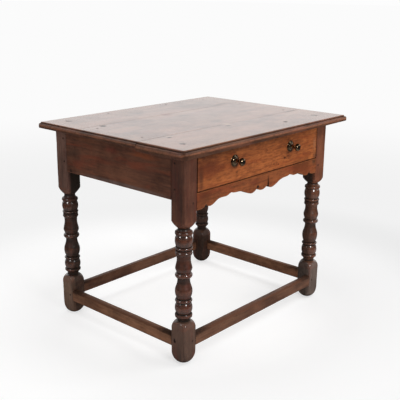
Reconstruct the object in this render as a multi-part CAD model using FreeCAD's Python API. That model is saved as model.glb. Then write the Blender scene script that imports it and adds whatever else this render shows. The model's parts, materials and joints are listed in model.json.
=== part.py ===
import FreeCAD, Part
import math
import os

# Tavern table: a moulded top of three boards on four turned legs, with pegged rails, a box
# stretcher, a shaped front rail and one wide dovetailed drawer on two brass knobs.
#
# Millimetres. X runs along the drawer front from left to right, Y into the depth, Z up.
# The origin is on the floor under the middle of the top.

# ---------------------------------------------------------------- table top
TABLE_HEIGHT = 711.0
TOP_LENGTH = 881.0
TOP_WIDTH = 686.0
TOP_THICKNESS = 20.5
FRONT_BOARD_EDGE = 28.0          # the front board is thicker where it overhangs the frame,
FRONT_BOARD_RIGHT = 21.0         # and tapers to its right end
FRONT_BOARD_RELIEF = 1.0         # round the frame, where it is planed down to the other boards
FRONT_BOARD_WIDTH = 199.0
BACK_BOARD_WIDTH = 205.0

# Wear on the four corners, seen from above
CORNER_FRONT_LEFT = 22.0
CORNER_FRONT_RIGHT = 9.0
CORNER_BACK_LEFT = 15.0
CORNER_BACK_RIGHT = 9.0

# Thumb moulding round the top: a leaning fillet, a ledge and a round nose
FILLET_DROP = 4.5                # height of the fillet under the arris of the top surface
FILLET_LEAN = 1.5
LEDGE_WIDTH = 1.0
THUMB_WIDTH = 7.0                # from the ledge out to the tip of the nose
THUMB_HEIGHT = 8.5               # from the ledge down to the tip of the nose
NOSE_UNDERCUT = 2.5              # how far the nose runs back in at the underside

OVERHANG_LEFT = 53.0
OVERHANG_RIGHT = 66.0
OVERHANG_FRONT = 47.0
OVERHANG_BACK = 31.0

# ---------------------------------------------------------------- legs
POST = 55.5                      # square stock of a leg
CORNER_WEAR = 0.85               # taken off the corners of the square blocks
FOOT_HEIGHT = 36.0               # rounded foot under the lower block
FOOT_PAD_RADIUS = 9.5
FOOT_BULGE = 7.1
BLOCK_BELOW_RAIL = 28.0          # upper block left under the front rail
STRETCHER_RISE = 19.5            # from the lower edge of the block up to the stretchers
BLOCK_ABOVE_STRETCHER = 26.0

# Radii of the turned members
NECK_RADIUS = 18.6
GROOVE_RADIUS = 22.4
RING_RADIUS = 27.2
LIP_RADIUS = 27.5
BALL_RADIUS = 27.6

# ---------------------------------------------------------------- rails and stretchers
RAIL_THICKNESS = 22.0
RAIL_BELOW_RUNNER = 1.5          # side and back rails reach this far below the runners
FRONT_RAIL_DEPTH = 55.0          # at its deepest lobes
STRETCHER_THICKNESS = 22.0
STRETCHER_HEIGHT = 40.5
WEAR_WIDTH = 7.0                 # worn outer top arris of the stretchers
WEAR_DEPTH = 3.5

# Lower edge of the front rail, as rises above its deepest line
CENTRE_LOBE_HALF = 28.0
CENTRE_LOBE_RISE = 1.0
CENTRE_LOBE_BULGE = 2.8
INNER_NOTCH_RISE = 11.5
INNER_LOBE_WIDTH = 33.0
INNER_LOBE_BULGE = 4.3
OUTER_LOBE_WIDTH = 21.0
OUTER_LOBE_BULGE = 3.9
OUTER_NOTCH_RISE = 15.0
END_LOBE_WIDTH = 20.0
END_LOBE_RISE = 1.0
END_LOBE_BULGE = 3.1
END_FLAT = 22.5                  # straight stretch beside each leg

# The two ogees between the lobes: (run from the tip of the inner lobe, rise)
INNER_OGEE = ((0.0, 0.0), (19.0, 6.0), (39.0, 15.0), (59.0, 19.5), (79.0, 20.5), (91.0, 22.0),
              (98.0, 24.5))
OUTER_OGEE = ((98.0, 24.5), (105.0, 23.5), (115.0, 20.0), (124.0, 17.5), (139.0, 18.0), (154.0, 18.0),
              (169.0, 14.5), (184.0, 7.0), (195.0, 3.0), (201.0, 2.2))

# Mortise and tenon joints
TENON_THICKNESS = 8.0
TENON_SETBACK = 7.0              # from the outer face of the rail
TENON_LENGTH = 28.0
TENON_SHOULDER = 10.0
STRETCHER_SHOULDER = 7.0
MORTISE_CLEARANCE = 0.1

# ---------------------------------------------------------------- wooden pegs
PEG_RADIUS = 4.0
PEG_LENGTH = 28.0
PEG_SETBACK = 15.0               # from the shoulder of the tenon
PEG_FROM_EDGE = 35.0             # from the upper and lower edges of the deep rails
PEG_PROUD = 0.5
PEG_CHAMFER = 0.6
PEG_CLEARANCE = 0.05
SUNK_PEG_DEPTH = 2.5             # one old stretcher peg has sunk into its hole
TOP_PEG_RADIUS = 4.5
TOP_PEG_BITE = 25.0              # how far the top pegs go into legs and rails
TOP_PEG_SUNK = 0.3
TOP_PEG_FROM_JOINT = 36.0        # side rail pegs, from the joints of the middle board
BACK_PEG_SPACING = 300.0

# ---------------------------------------------------------------- drawer support
DRAWER_OPENING_HEIGHT = 131.0    # from the front rail up to the top
RUNNER_WIDTH = 22.0
RUNNER_HEIGHT = 18.0
RUNNER_TENON_LENGTH = 10.0
RUNNER_SHOULDER = 4.0
GUIDE_HEIGHT = 50.0
NAIL_RADIUS = 1.6
NAIL_HEAD_RADIUS = 3.6
NAIL_HEAD_HEIGHT = 1.4
NAIL_SUNK = 0.4
NAIL_CLEARANCE = 0.05
GUIDE_NAIL_BITE = 12.0
GUIDE_NAIL_FROM_END = 80.0
GUIDE_NAIL_FROM_TOP = 12.0
STOP_DEPTH = 10.0
STOP_WIDTH = 40.0
STOP_HEIGHT = 45.0
STOP_SPACING = 400.0
STOP_DROP = 40.0                 # from the underside of the top

# ---------------------------------------------------------------- drawer
DRAWER_END_GAP = 3.0
DRAWER_BOTTOM_GAP = 2.0
DRAWER_TOP_GAP = 1.5             # under the edge of the front board
DRAWER_RECESS = 1.0              # drawer front behind the outer face of the legs
DRAWER_STOP_GAP = 0.5
SIDE_RUN_GAP = 0.5               # under the drawer sides, over the runners
SIDE_TOP_DROP = 5.0              # drawer sides below the top edge of the drawer front
FRONT_THICKNESS = 20.0
SIDE_THICKNESS = 13.0
BACK_THICKNESS = 12.0
BACK_TOP_DROP = 10.0
BOTTOM_THICKNESS = 8.0
GROOVE_DEPTH = 6.0
GROOVE_RISE = 10.0               # bottom boards above the lower edge of the drawer sides
GROOVE_CLEARANCE = 0.3
BOTTOM_BOARDS = ("left", "middle", "right")
DOVETAIL_LAP = 6.0               # wood left in front of the tails
DOVETAIL_COUNT = 3
DOVETAIL_PIN = 10.0              # narrow end of the pins between the tails
DOVETAIL_SPLAY = 3.0
DOVETAIL_CLEARANCE = 0.05
SIDE_NAIL_COUNT = 3
SIDE_NAIL_BITE = 20.0
BOTTOM_NAIL_COUNT = 4
BOTTOM_NAIL_BITE = 22.0

# ---------------------------------------------------------------- knobs
KNOB_SPACING = 304.0
KNOB_SHIFT = 4.0                 # the pair sits a little to the right of the frame's middle
KNOB_ABOVE_MIDDLE = 9.75         # above mid height of the drawer front
ROSE_RADIUS = 19.0
ROSE_EDGE = 1.2
ROSE_HEIGHT = 5.5
ROSE_SEAT_RADIUS = 7.0           # flat ring that the neck of the knob sits on
NECK_LENGTH = 16.5
KNOB_NECK_RADIUS = 4.6
NECK_FLARE = 1.8
KNOB_RADIUS = 13.0
KNOB_THICKNESS = 16.0
KNOB_FACE_RADIUS = 4.0
STEM_RADIUS = 3.0
STEM_CLEARANCE = 0.05
NUT_WIDTH = 15.0
NUT_HEIGHT = 4.5
NUT_CHAMFER = 1.0
STEM_PAST_NUT = 3.0

# ---------------------------------------------------------------- places that follow from the sizes
TOP_UNDERSIDE = TABLE_HEIGHT - TOP_THICKNESS
FRAME_LEFT = -TOP_LENGTH / 2 + OVERHANG_LEFT
FRAME_RIGHT = TOP_LENGTH / 2 - OVERHANG_RIGHT
FRAME_FRONT = -TOP_WIDTH / 2 + OVERHANG_FRONT
FRAME_BACK = TOP_WIDTH / 2 - OVERHANG_BACK
FRAME_CENTRE = (FRAME_LEFT + FRAME_RIGHT) / 2
INNER_LEFT = FRAME_LEFT + POST
INNER_RIGHT = FRAME_RIGHT - POST
INNER_FRONT = FRAME_FRONT + POST
INNER_BACK = FRAME_BACK - POST
AXIS_LEFT = FRAME_LEFT + POST / 2
AXIS_RIGHT = FRAME_RIGHT - POST / 2
AXIS_FRONT = FRAME_FRONT + POST / 2
AXIS_BACK = FRAME_BACK - POST / 2

BLOCK_RADIUS = POST / math.sqrt(2) - CORNER_WEAR
STRETCHER_BOTTOM = FOOT_HEIGHT + STRETCHER_RISE
STRETCHER_TOP = STRETCHER_BOTTOM + STRETCHER_HEIGHT
LOWER_BLOCK_TOP = STRETCHER_TOP + BLOCK_ABOVE_STRETCHER
FRONT_RAIL_TOP = TOP_UNDERSIDE - DRAWER_OPENING_HEIGHT
FRONT_RAIL_BOTTOM = FRONT_RAIL_TOP - FRONT_RAIL_DEPTH
UPPER_BLOCK_BOTTOM = FRONT_RAIL_BOTTOM - BLOCK_BELOW_RAIL
RUNNER_BOTTOM = FRONT_RAIL_TOP - RUNNER_HEIGHT
RAIL_BOTTOM = RUNNER_BOTTOM - RAIL_BELOW_RUNNER

JOINT_FRONT = -TOP_WIDTH / 2 + FRONT_BOARD_WIDTH
JOINT_BACK = TOP_WIDTH / 2 - BACK_BOARD_WIDTH

DRAWER_FACE = FRAME_FRONT + DRAWER_RECESS
DRAWER_SHOULDER = DRAWER_FACE + FRONT_THICKNESS
DRAWER_END = FRAME_BACK - RAIL_THICKNESS - STOP_DEPTH - DRAWER_STOP_GAP
DRAWER_LEFT = INNER_LEFT + DRAWER_END_GAP
DRAWER_RIGHT = INNER_RIGHT - DRAWER_END_GAP
DRAWER_INSIDE_LEFT = DRAWER_LEFT + SIDE_THICKNESS
DRAWER_INSIDE_RIGHT = DRAWER_RIGHT - SIDE_THICKNESS
DRAWER_FRONT_BOTTOM = FRONT_RAIL_TOP + DRAWER_BOTTOM_GAP
DRAWER_FRONT_TOP = TABLE_HEIGHT - FRONT_BOARD_EDGE - DRAWER_TOP_GAP
SIDE_BOTTOM = FRONT_RAIL_TOP + SIDE_RUN_GAP
SIDE_TOP = DRAWER_FRONT_TOP - SIDE_TOP_DROP
BOTTOM_UNDERSIDE = SIDE_BOTTOM + GROOVE_RISE
BOTTOM_UPPER = BOTTOM_UNDERSIDE + BOTTOM_THICKNESS
BACK_FACE = DRAWER_END - BACK_THICKNESS
KNOB_HEIGHT = (DRAWER_FRONT_BOTTOM + DRAWER_FRONT_TOP) / 2 + KNOB_ABOVE_MIDDLE
KNOB_CENTRE = FRAME_CENTRE + KNOB_SHIFT

# Turned members of a leg from the lower block up to the upper block. They stretch together to
# fill the space between the blocks: (height, radius below, radius above, bulge of the curve),
# or for a vase (height, points of share of the height and radius).
LOWER_VASE = ((0.0, 21.0), (0.10, 23.8), (0.22, 26.2), (0.36, 27.2), (0.49, 26.3), (0.63, 23.2),
              (0.79, 20.3), (0.91, 19.7), (1.0, 19.9))
UPPER_VASE = ((0.0, 22.0), (0.08, 23.6), (0.31, 26.2), (0.47, 25.3), (0.67, 23.2), (0.84, 22.1),
              (1.0, 21.8))
TURNED_MEMBERS = (
    (27.5, BLOCK_RADIUS, 19.9, 4.4),                          # shoulder on the lower block
    (2.5, NECK_RADIUS, NECK_RADIUS, 0.0),                     # neck
    (13.5, NECK_RADIUS, 26.6, -1.9),                          # cove
    (8.0, 25.4, 25.4, LIP_RADIUS - 25.4),                     # lip
    (1.0, GROOVE_RADIUS, GROOVE_RADIUS, 0.0),
    (34.0, 23.0, 23.0, BALL_RADIUS - 23.0),                   # ball
    (3.0, GROOVE_RADIUS, GROOVE_RADIUS, 0.0),
    (8.0, 23.8, 23.8, RING_RADIUS - 23.8),                    # ring
    (2.5, 21.6, 21.6, 0.0),
    (68.0, LOWER_VASE),
    (1.0, 20.8, 20.8, 0.0),
    (15.5, 21.5, 21.5, RING_RADIUS - 21.5),                   # large ring
    (1.5, 21.5, 21.5, 0.0),
    (49.0, UPPER_VASE),
    (10.5, 21.8, 24.0, -1.0),                                 # small cove
    (10.0, 24.2, 24.2, 2.2),                                  # ring
    (4.0, 25.2, 25.2, 0.2),
    (2.5, GROOVE_RADIUS, GROOVE_RADIUS, 0.0),
    (7.0, 24.2, 24.2, RING_RADIUS - 24.2),                    # ring
    (1.0, GROOVE_RADIUS, GROOVE_RADIUS, 0.0),
    (37.0, 23.4, 23.4, BALL_RADIUS - 23.4),                   # ball
    (1.0, GROOVE_RADIUS, GROOVE_RADIUS, 0.0),
    (9.0, 25.4, 25.4, LIP_RADIUS - 25.4),                     # lip
    (11.0, 26.3, NECK_RADIUS, -1.7),                          # cove
    (3.0, NECK_RADIUS, NECK_RADIUS, 0.0),                     # neck
    (3.5, NECK_RADIUS, 20.5, -0.3),
    (20.0, 20.5, BLOCK_RADIUS, 1.0),                          # shoulder under the upper block
)

# No two legs are turned quite alike: how stout the shaft of each is beside the pattern, and how
# far up it the pattern is moved, as (height above the lower block, shift).
LEG_HAND = {
    "leg_front_left": (1.02, (
        (0, 0), (14, -2.5), (27.5, -3.5), (30, -2.5), (43.5, -6.5), (51.5, -3), (52.5, -1.5), (86.5, -2),
        (100, 0.5), (123, 0), (161, -1), (177, 1), (187, 1.5), (202, -1.5), (232, -2), (251, -1),
        (262, 0), (270, 1.5), (288, 3.5), (307, 1.5), (314, 3.5), (328, 0.5), (334.5, -2), (354.5, -1.5))),
    "leg_front_right": (1.05, (
        (0, 0), (27.5, 0.5), (43.5, 1), (51.5, 2), (69, 4.5), (88, 4.5), (95, 5.5), (102, 5), (124, 7.5),
        (162, 10), (177, 11), (189, 9.5), (202, 12.5), (232, 8.5), (243, 6), (259.5, 5.5), (265, 4.5),
        (269.5, 8), (288, 9.5), (307, 8), (314, 9), (328, 7), (334.5, 4), (354.5, 2))),
    "leg_back_left": (1.03, (
        (0, 0), (93, -1), (96, -2), (160, -1), (177, -2), (187, 0), (202, -3), (232, 0), (285, 0.5),
        (305, -2), (314, -1), (328, -3), (354.5, 0))),
    "leg_back_right": (1.02, ((0, 0), (60, 1.5), (123, -1.5), (202, 1.5), (288, -2), (354.5, 0))),
}

LEG_AXES = {
    "leg_front_left": (AXIS_LEFT, AXIS_FRONT),
    "leg_front_right": (AXIS_RIGHT, AXIS_FRONT),
    "leg_back_left": (AXIS_LEFT, AXIS_BACK),
    "leg_back_right": (AXIS_RIGHT, AXIS_BACK),
}

X = FreeCAD.Vector(1, 0, 0)
Y = FreeCAD.Vector(0, 1, 0)
Z = FreeCAD.Vector(0, 0, 1)
ORIGIN = FreeCAD.Vector(0, 0, 0)


# ---------------------------------------------------------------- drawing helpers
class Outline:
    """A closed outline in the XZ plane, drawn from point to point as (x, z)."""

    def __init__(self, x, z):
        self.first = FreeCAD.Vector(x, 0, z)
        self.here = self.first
        self.edges = []

    def line(self, x, z):
        end = FreeCAD.Vector(x, 0, z)
        if end.distanceToPoint(self.here) > 1e-6:
            self.edges.append(Part.LineSegment(self.here, end).toShape())
            self.here = end

    def arc(self, x, z, bulge):
        """An arc that bulges to the right of the way it runs, or to the left if bulge is negative."""
        end = FreeCAD.Vector(x, 0, z)
        if abs(bulge) < 1e-6:
            self.line(x, z)
            return
        chord = end - self.here
        right = FreeCAD.Vector(chord.z, 0, -chord.x)
        right.normalize()
        crown = self.here + chord * 0.5 + right * bulge
        self.edges.append(Part.Arc(self.here, crown, end).toShape())
        self.here = end

    def curve(self, points):
        """A smooth curve through the points, the first of which is where the outline stands."""
        spline = Part.BSplineCurve()
        spline.interpolate([FreeCAD.Vector(x, 0, z) for x, z in points])
        self.edges.append(spline.toShape())
        self.here = FreeCAD.Vector(points[-1][0], 0, points[-1][1])

    def face(self):
        self.line(self.first.x, self.first.z)
        return Part.Face(Part.Wire(self.edges))


def block(xs, ys, zs):
    """A box between two planes each way."""
    low = FreeCAD.Vector(min(xs), min(ys), min(zs))
    return Part.makeBox(max(xs) - low.x, max(ys) - low.y, max(zs) - low.z, low)


def bar(along, run, across, height):
    """A box that runs along X or Y, with its other plan size in across."""
    if along == "x":
        return block(run, across, height)
    return block(across, run, height)


def place(along, run, across, z):
    """The point at run and across of a bar that runs along X or Y."""
    if along == "x":
        return FreeCAD.Vector(run, across, z)
    return FreeCAD.Vector(across, run, z)


def turned(outline):
    """The solid that an outline sweeps round the Z axis."""
    return outline.face().revolve(ORIGIN, Z, 360)


def pin(radius, length, start, direction, chamfer):
    """A round pin from its head at start, with a small chamfer round the head."""
    outline = Outline(0, 0)
    outline.line(radius - chamfer, 0)
    outline.line(radius, chamfer)
    outline.line(radius, length)
    outline.line(0, length)
    return aimed(turned(outline), start, direction)


def aimed(shape, start, direction):
    """The shape turned from +Z to the direction and moved to start."""
    shape.Placement = FreeCAD.Placement(start, FreeCAD.Rotation(Z, direction))
    return shape


def cut(shape, cutters):
    near = [tool for tool in cutters if shape.BoundBox.intersect(tool.BoundBox)]
    return shape.cut(near) if near else shape


# ---------------------------------------------------------------- the top
def moulded_strip(width, length, thickness, tall):
    """A strip along Y with the thumb moulding on both edges, as wide as the top at its nose."""
    half = width / 2
    bottom = TABLE_HEIGHT - thickness
    ledge = half - THUMB_WIDTH
    fillet_foot = ledge - LEDGE_WIDTH
    arris = fillet_foot - FILLET_LEAN
    ledge_z = TABLE_HEIGHT - FILLET_DROP * tall
    nose_z = ledge_z - THUMB_HEIGHT * tall
    eighth = 1 - math.sqrt(0.5)
    sides = []
    for side in (1, -1):
        thumb_x = half - THUMB_WIDTH * eighth
        thumb_crown = FreeCAD.Vector(side * thumb_x, 0, ledge_z - THUMB_HEIGHT * tall * eighth)
        nose_x = half - NOSE_UNDERCUT * eighth
        nose_crown = FreeCAD.Vector(side * nose_x, 0, (nose_z + bottom) / 2)
        points = [FreeCAD.Vector(side * x, 0, z) for x, z in (
            (arris, TABLE_HEIGHT),
            (fillet_foot, ledge_z),
            (ledge, ledge_z),
            (half, nose_z),
            (half - NOSE_UNDERCUT, bottom),
        )]
        sides.append((points, [
            Part.LineSegment(points[0], points[1]).toShape(),
            Part.LineSegment(points[1], points[2]).toShape(),
            Part.Arc(points[2], thumb_crown, points[3]).toShape(),
            Part.Arc(points[3], nose_crown, points[4]).toShape(),
        ]))
    (right, right_edges), (left, left_edges) = sides
    underside = Part.LineSegment(right[-1], left[-1]).toShape()
    surface = Part.LineSegment(left[0], right[0]).toShape()
    edges = Part.sortEdges(right_edges + [underside] + left_edges + [surface])[0]
    section = Part.Face(Part.Wire(edges))
    section.translate(Y * (-length / 2))
    return section.extrude(Y * length)


def rounded_plan():
    """The plan of the top with worn corners, as a prism taller than the top."""
    half_x = TOP_LENGTH / 2
    half_y = TOP_WIDTH / 2
    plan = block((-half_x, half_x), (-half_y, half_y), (0, 2 * TABLE_HEIGHT))
    for side_x, side_y, radius in (
        (-1, -1, CORNER_FRONT_LEFT),
        (1, -1, CORNER_FRONT_RIGHT),
        (-1, 1, CORNER_BACK_LEFT),
        (1, 1, CORNER_BACK_RIGHT),
    ):
        upright = [edge for edge in plan.Edges
                   if abs(edge.Vertexes[0].Z - edge.Vertexes[-1].Z) > TABLE_HEIGHT
                   and abs(edge.Vertexes[0].X - side_x * half_x) < 0.1
                   and abs(edge.Vertexes[0].Y - side_y * half_y) < 0.1]
        plan = plan.makeFillet(radius, upright)
    return plan


def moulded_slab(thickness, tall):
    """The whole top in one piece, moulded on its four edges, the moulding being tall times as high."""
    along_y = moulded_strip(TOP_LENGTH, TOP_WIDTH, thickness, tall)
    along_x = moulded_strip(TOP_WIDTH, TOP_LENGTH, thickness, tall)
    along_x.rotate(ORIGIN, Z, 90)
    return along_y.common(along_x).common(rounded_plan())


def under_taper():
    """What is planed off under the front board: its underside rises to the right end."""
    half = TOP_LENGTH / 2 + 5
    rise = (FRONT_BOARD_EDGE - FRONT_BOARD_RIGHT) / TOP_LENGTH * 5
    corners = (
        FreeCAD.Vector(-half, -TOP_WIDTH, TABLE_HEIGHT - FRONT_BOARD_EDGE - rise),
        FreeCAD.Vector(half, -TOP_WIDTH, TABLE_HEIGHT - FRONT_BOARD_RIGHT + rise),
        FreeCAD.Vector(half, -TOP_WIDTH, TABLE_HEIGHT - FRONT_BOARD_EDGE - 5),
        FreeCAD.Vector(-half, -TOP_WIDTH, TABLE_HEIGHT - FRONT_BOARD_EDGE - 5),
    )
    side = Part.Face(Part.makePolygon(list(corners) + [corners[0]]))
    return side.extrude(FreeCAD.Vector(0, 2 * TOP_WIDTH, 0))


def top_boards(holes):
    thin = moulded_slab(TOP_THICKNESS, 1.0)
    thick = moulded_slab(FRONT_BOARD_EDGE + 1, FRONT_BOARD_EDGE / TOP_THICKNESS).cut(under_taper())
    over_frame = block((FRAME_LEFT - FRONT_BOARD_RELIEF, FRAME_RIGHT + FRONT_BOARD_RELIEF),
                       (FRAME_FRONT - FRONT_BOARD_RELIEF, TOP_WIDTH), (0, TOP_UNDERSIDE))
    spans = {
        "top_board_front": (thick.cut(over_frame), -TOP_WIDTH / 2, JOINT_FRONT),
        "top_board_middle": (thin, JOINT_FRONT, JOINT_BACK),
        "top_board_back": (thin, JOINT_BACK, TOP_WIDTH / 2),
    }
    boards = {}
    for name, (slab, front, back) in spans.items():
        board = slab.common(block((-TOP_LENGTH, TOP_LENGTH), (front, back), (0, TABLE_HEIGHT)))
        boards[name] = cut(board, holes)
    return boards


def top_peg_places():
    """Over the four legs, over the side rails beside the joints, and over the back rail."""
    places = list(LEG_AXES.values())
    for rail_x in (FRAME_LEFT + RAIL_THICKNESS / 2, FRAME_RIGHT - RAIL_THICKNESS / 2):
        places.append((rail_x, JOINT_FRONT + TOP_PEG_FROM_JOINT))
        places.append((rail_x, JOINT_BACK - TOP_PEG_FROM_JOINT))
    for side in (-1, 1):
        places.append((FRAME_CENTRE + side * BACK_PEG_SPACING / 2, FRAME_BACK - RAIL_THICKNESS / 2))
    return places


def top_pegs():
    """The pegs, and the holes for them."""
    pegs = []
    holes = []
    head = TABLE_HEIGHT - TOP_PEG_SUNK
    foot = TOP_UNDERSIDE - TOP_PEG_BITE
    for x, y in top_peg_places():
        start = FreeCAD.Vector(x, y, head)
        pegs.append(pin(TOP_PEG_RADIUS, head - foot, start, -Z, PEG_CHAMFER))
        hole_radius = TOP_PEG_RADIUS + PEG_CLEARANCE
        holes.append(Part.makeCylinder(hole_radius, TABLE_HEIGHT - foot, FreeCAD.Vector(x, y, foot), Z))
    return pegs, holes


# ---------------------------------------------------------------- legs
def shift_at(drift, height):
    """How far a height of the turned pattern is moved up on a leg."""
    for (low, low_shift), (high, high_shift) in zip(drift, drift[1:]):
        if height <= high:
            return low_shift + (high_shift - low_shift) * (height - low) / (high - low)
    return drift[-1][1]


def leg_blank(girth, drift):
    """A leg on the Z axis: rounded foot, lower block, turned shaft and upper block."""
    turned_height = sum(member[0] for member in TURNED_MEMBERS)
    stretch = (UPPER_BLOCK_BOTTOM - LOWER_BLOCK_TOP) / turned_height

    def at(height):
        return LOWER_BLOCK_TOP + (height + shift_at(drift, height)) * stretch

    def stout(radius):
        return radius if radius == BLOCK_RADIUS else radius * girth

    outline = Outline(0, 0)
    outline.line(FOOT_PAD_RADIUS, 0)
    outline.arc(BLOCK_RADIUS, FOOT_HEIGHT, FOOT_BULGE)
    outline.line(BLOCK_RADIUS, LOWER_BLOCK_TOP)
    height = 0
    for member in TURNED_MEMBERS:
        top = height + member[0]
        if len(member) == 2:
            points = [(stout(radius), at(height + share * member[0])) for share, radius in member[1]]
            outline.line(points[0][0], outline.here.z)
            outline.curve(points)
        else:
            below, above, bulge = member[1:]
            outline.line(stout(below), outline.here.z)
            outline.arc(stout(above), at(top), bulge)
        height = top
    outline.line(BLOCK_RADIUS, TOP_UNDERSIDE)
    outline.line(0, TOP_UNDERSIDE)
    half = POST / 2
    return turned(outline).common(block((-half, half), (-half, half), (0, TOP_UNDERSIDE)))


def legs(cutters):
    made = {}
    for name, (x, y) in LEG_AXES.items():
        leg = leg_blank(*LEG_HAND[name])
        leg.translate(FreeCAD.Vector(x, y, 0))
        made[name] = cut(leg, cutters)
    return made


# ---------------------------------------------------------------- rails and stretchers
class Member:
    """A rail or stretcher with a tenon at each end, its mortises and its pegs.

    along is "x" or "y", run and height are (from, to), and outer is the plane of its show face,
    with inward +1 or -1 for the way from there to its inner face.
    """

    def __init__(self, along, run, outer, inward, thickness, height, shoulder, peg_heights):
        self.along = along
        self.run = run
        self.outer = outer
        self.inward = inward
        self.across = (outer, outer + inward * thickness)
        self.height = height
        self.shoulder = shoulder
        self.peg_heights = peg_heights
        self.body = bar(along, run, self.across, height)

    def tenon_bar(self, clearance):
        near = self.outer + self.inward * (TENON_SETBACK - clearance)
        far = self.outer + self.inward * (TENON_SETBACK + TENON_THICKNESS + clearance)
        reach = TENON_LENGTH + clearance
        run = (self.run[0] - reach, self.run[1] + reach)
        height = (self.height[0] + self.shoulder - clearance, self.height[1] - self.shoulder + clearance)
        return bar(self.along, run, (near, far), height)

    def ends(self):
        """The tenons without the stretch between the shoulders."""
        return self.tenon_bar(0).cut(bar(self.along, self.run, self.across, self.height))

    def solid(self, holes):
        return cut(self.body.fuse(self.ends()).removeSplitter(), holes)

    def mortises(self):
        return self.tenon_bar(MORTISE_CLEARANCE).cut(bar(self.along, self.run, self.across, self.height))

    def peg_points(self):
        for z in self.peg_heights:
            for run in (self.run[0] - PEG_SETBACK, self.run[1] + PEG_SETBACK):
                yield place(self.along, run, self.outer, z)

    def pegs(self, proud):
        """The pegs through both tenons, with their heads proud of the show face."""
        inward = (Y if self.along == "x" else X) * self.inward
        pegs = []
        for point, head in zip(self.peg_points(), proud):
            pegs.append(pin(PEG_RADIUS, PEG_LENGTH + head, point - inward * head, inward, PEG_CHAMFER))
        return pegs

    def peg_holes(self):
        inward = (Y if self.along == "x" else X) * self.inward
        radius = PEG_RADIUS + PEG_CLEARANCE
        return [Part.makeCylinder(radius, PEG_LENGTH, point, inward) for point in self.peg_points()]


def rail_members():
    deep = (RAIL_BOTTOM, TOP_UNDERSIDE)
    deep_pegs = (RAIL_BOTTOM + PEG_FROM_EDGE, TOP_UNDERSIDE - PEG_FROM_EDGE)
    side_run = (INNER_FRONT, INNER_BACK)
    long_run = (INNER_LEFT, INNER_RIGHT)
    front = (FRONT_RAIL_BOTTOM, FRONT_RAIL_TOP)
    front_peg = ((FRONT_RAIL_BOTTOM + FRONT_RAIL_TOP) / 2,)
    plan = {
        "side_rail_left": ("y", side_run, FRAME_LEFT, 1, deep, deep_pegs),
        "side_rail_right": ("y", side_run, FRAME_RIGHT, -1, deep, deep_pegs),
        "back_rail": ("x", long_run, FRAME_BACK, -1, deep, deep_pegs),
        "front_rail": ("x", long_run, FRAME_FRONT, 1, front, front_peg),
    }
    made = {}
    for name, (along, run, outer, inward, height, pegs) in plan.items():
        made[name] = Member(along, run, outer, inward, RAIL_THICKNESS, height, TENON_SHOULDER, pegs)
    made["front_rail"].body = shaped_board()
    return made


def stretcher_members():
    height = (STRETCHER_BOTTOM, STRETCHER_TOP)
    peg = ((STRETCHER_BOTTOM + STRETCHER_TOP) / 2,)
    side_run = (INNER_FRONT, INNER_BACK)
    long_run = (INNER_LEFT, INNER_RIGHT)
    plan = {
        "stretcher_front": ("x", long_run, FRAME_FRONT, 1),
        "stretcher_back": ("x", long_run, FRAME_BACK, -1),
        "stretcher_left": ("y", side_run, FRAME_LEFT, 1),
        "stretcher_right": ("y", side_run, FRAME_RIGHT, -1),
    }
    made = {}
    for name, (along, run, outer, inward) in plan.items():
        member = Member(along, run, outer, inward, STRETCHER_THICKNESS, height, STRETCHER_SHOULDER, peg)
        member.body = member.body.cut(worn_arris(member))
        made[name] = member
    return made


def worn_arris(member):
    """The wedge that feet have worn off the outer top arris."""
    outline = Outline(0, 0)
    outline.line(0, -WEAR_DEPTH)
    outline.line(WEAR_WIDTH, 0)
    wedge = outline.face().extrude(Y * (member.run[1] - member.run[0]))
    if member.along == "y":
        if member.inward < 0:
            wedge = wedge.mirror(ORIGIN, X)
        wedge.translate(FreeCAD.Vector(member.outer, member.run[0], STRETCHER_TOP))
        return wedge
    wedge.rotate(ORIGIN, Z, 90)
    wedge.translate(FreeCAD.Vector(member.run[1], 0, 0))
    if member.inward < 0:
        wedge = wedge.mirror(ORIGIN, Y)
    wedge.translate(FreeCAD.Vector(0, member.outer, STRETCHER_TOP))
    return wedge


def rail_edge(side):
    """Lower edge of the front rail from its middle out to one leg, as steps for the outline."""
    half = (INNER_RIGHT - INNER_LEFT) / 2
    space = half - CENTRE_LOBE_HALF - INNER_LOBE_WIDTH - OUTER_LOBE_WIDTH - END_LOBE_WIDTH - END_FLAT
    stretch = space / OUTER_OGEE[-1][0]
    tip = CENTRE_LOBE_HALF + INNER_LOBE_WIDTH

    def at(run, rise):
        return FRAME_CENTRE + side * run, FRONT_RAIL_BOTTOM + rise

    inner = [at(tip + run * stretch, rise) for run, rise in INNER_OGEE]
    outer = [at(tip + run * stretch, rise) for run, rise in OUTER_OGEE]
    return [
        ("start", at(0, CENTRE_LOBE_RISE), 0),
        ("arc", at(CENTRE_LOBE_HALF, INNER_NOTCH_RISE), CENTRE_LOBE_BULGE),
        ("arc", at(tip, 0), INNER_LOBE_BULGE),
        ("curve", inner, 0),
        ("curve", outer, 0),
        ("arc", at(half - END_FLAT - END_LOBE_WIDTH, OUTER_NOTCH_RISE), OUTER_LOBE_BULGE),
        ("arc", at(half - END_FLAT, END_LOBE_RISE), END_LOBE_BULGE),
        ("line", at(half, END_LOBE_RISE), 0),
    ]


def shaped_board():
    """The front rail between the legs, with the same lower edge to the left and to the right."""
    halves = []
    for side in (1, -1):
        steps = rail_edge(side)
        outline = Outline(*steps[0][1])
        for kind, target, bulge in steps[1:]:
            if kind == "arc":
                outline.arc(target[0], target[1], side * bulge)
            elif kind == "curve":
                outline.curve(target)
            else:
                outline.line(*target)
        outline.line(outline.here.x, FRONT_RAIL_TOP)
        outline.line(FRAME_CENTRE, FRONT_RAIL_TOP)
        half = outline.face().extrude(Y * RAIL_THICKNESS)
        half.translate(Y * FRAME_FRONT)
        halves.append(half)
    return halves[0].fuse(halves[1]).removeSplitter()


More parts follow.
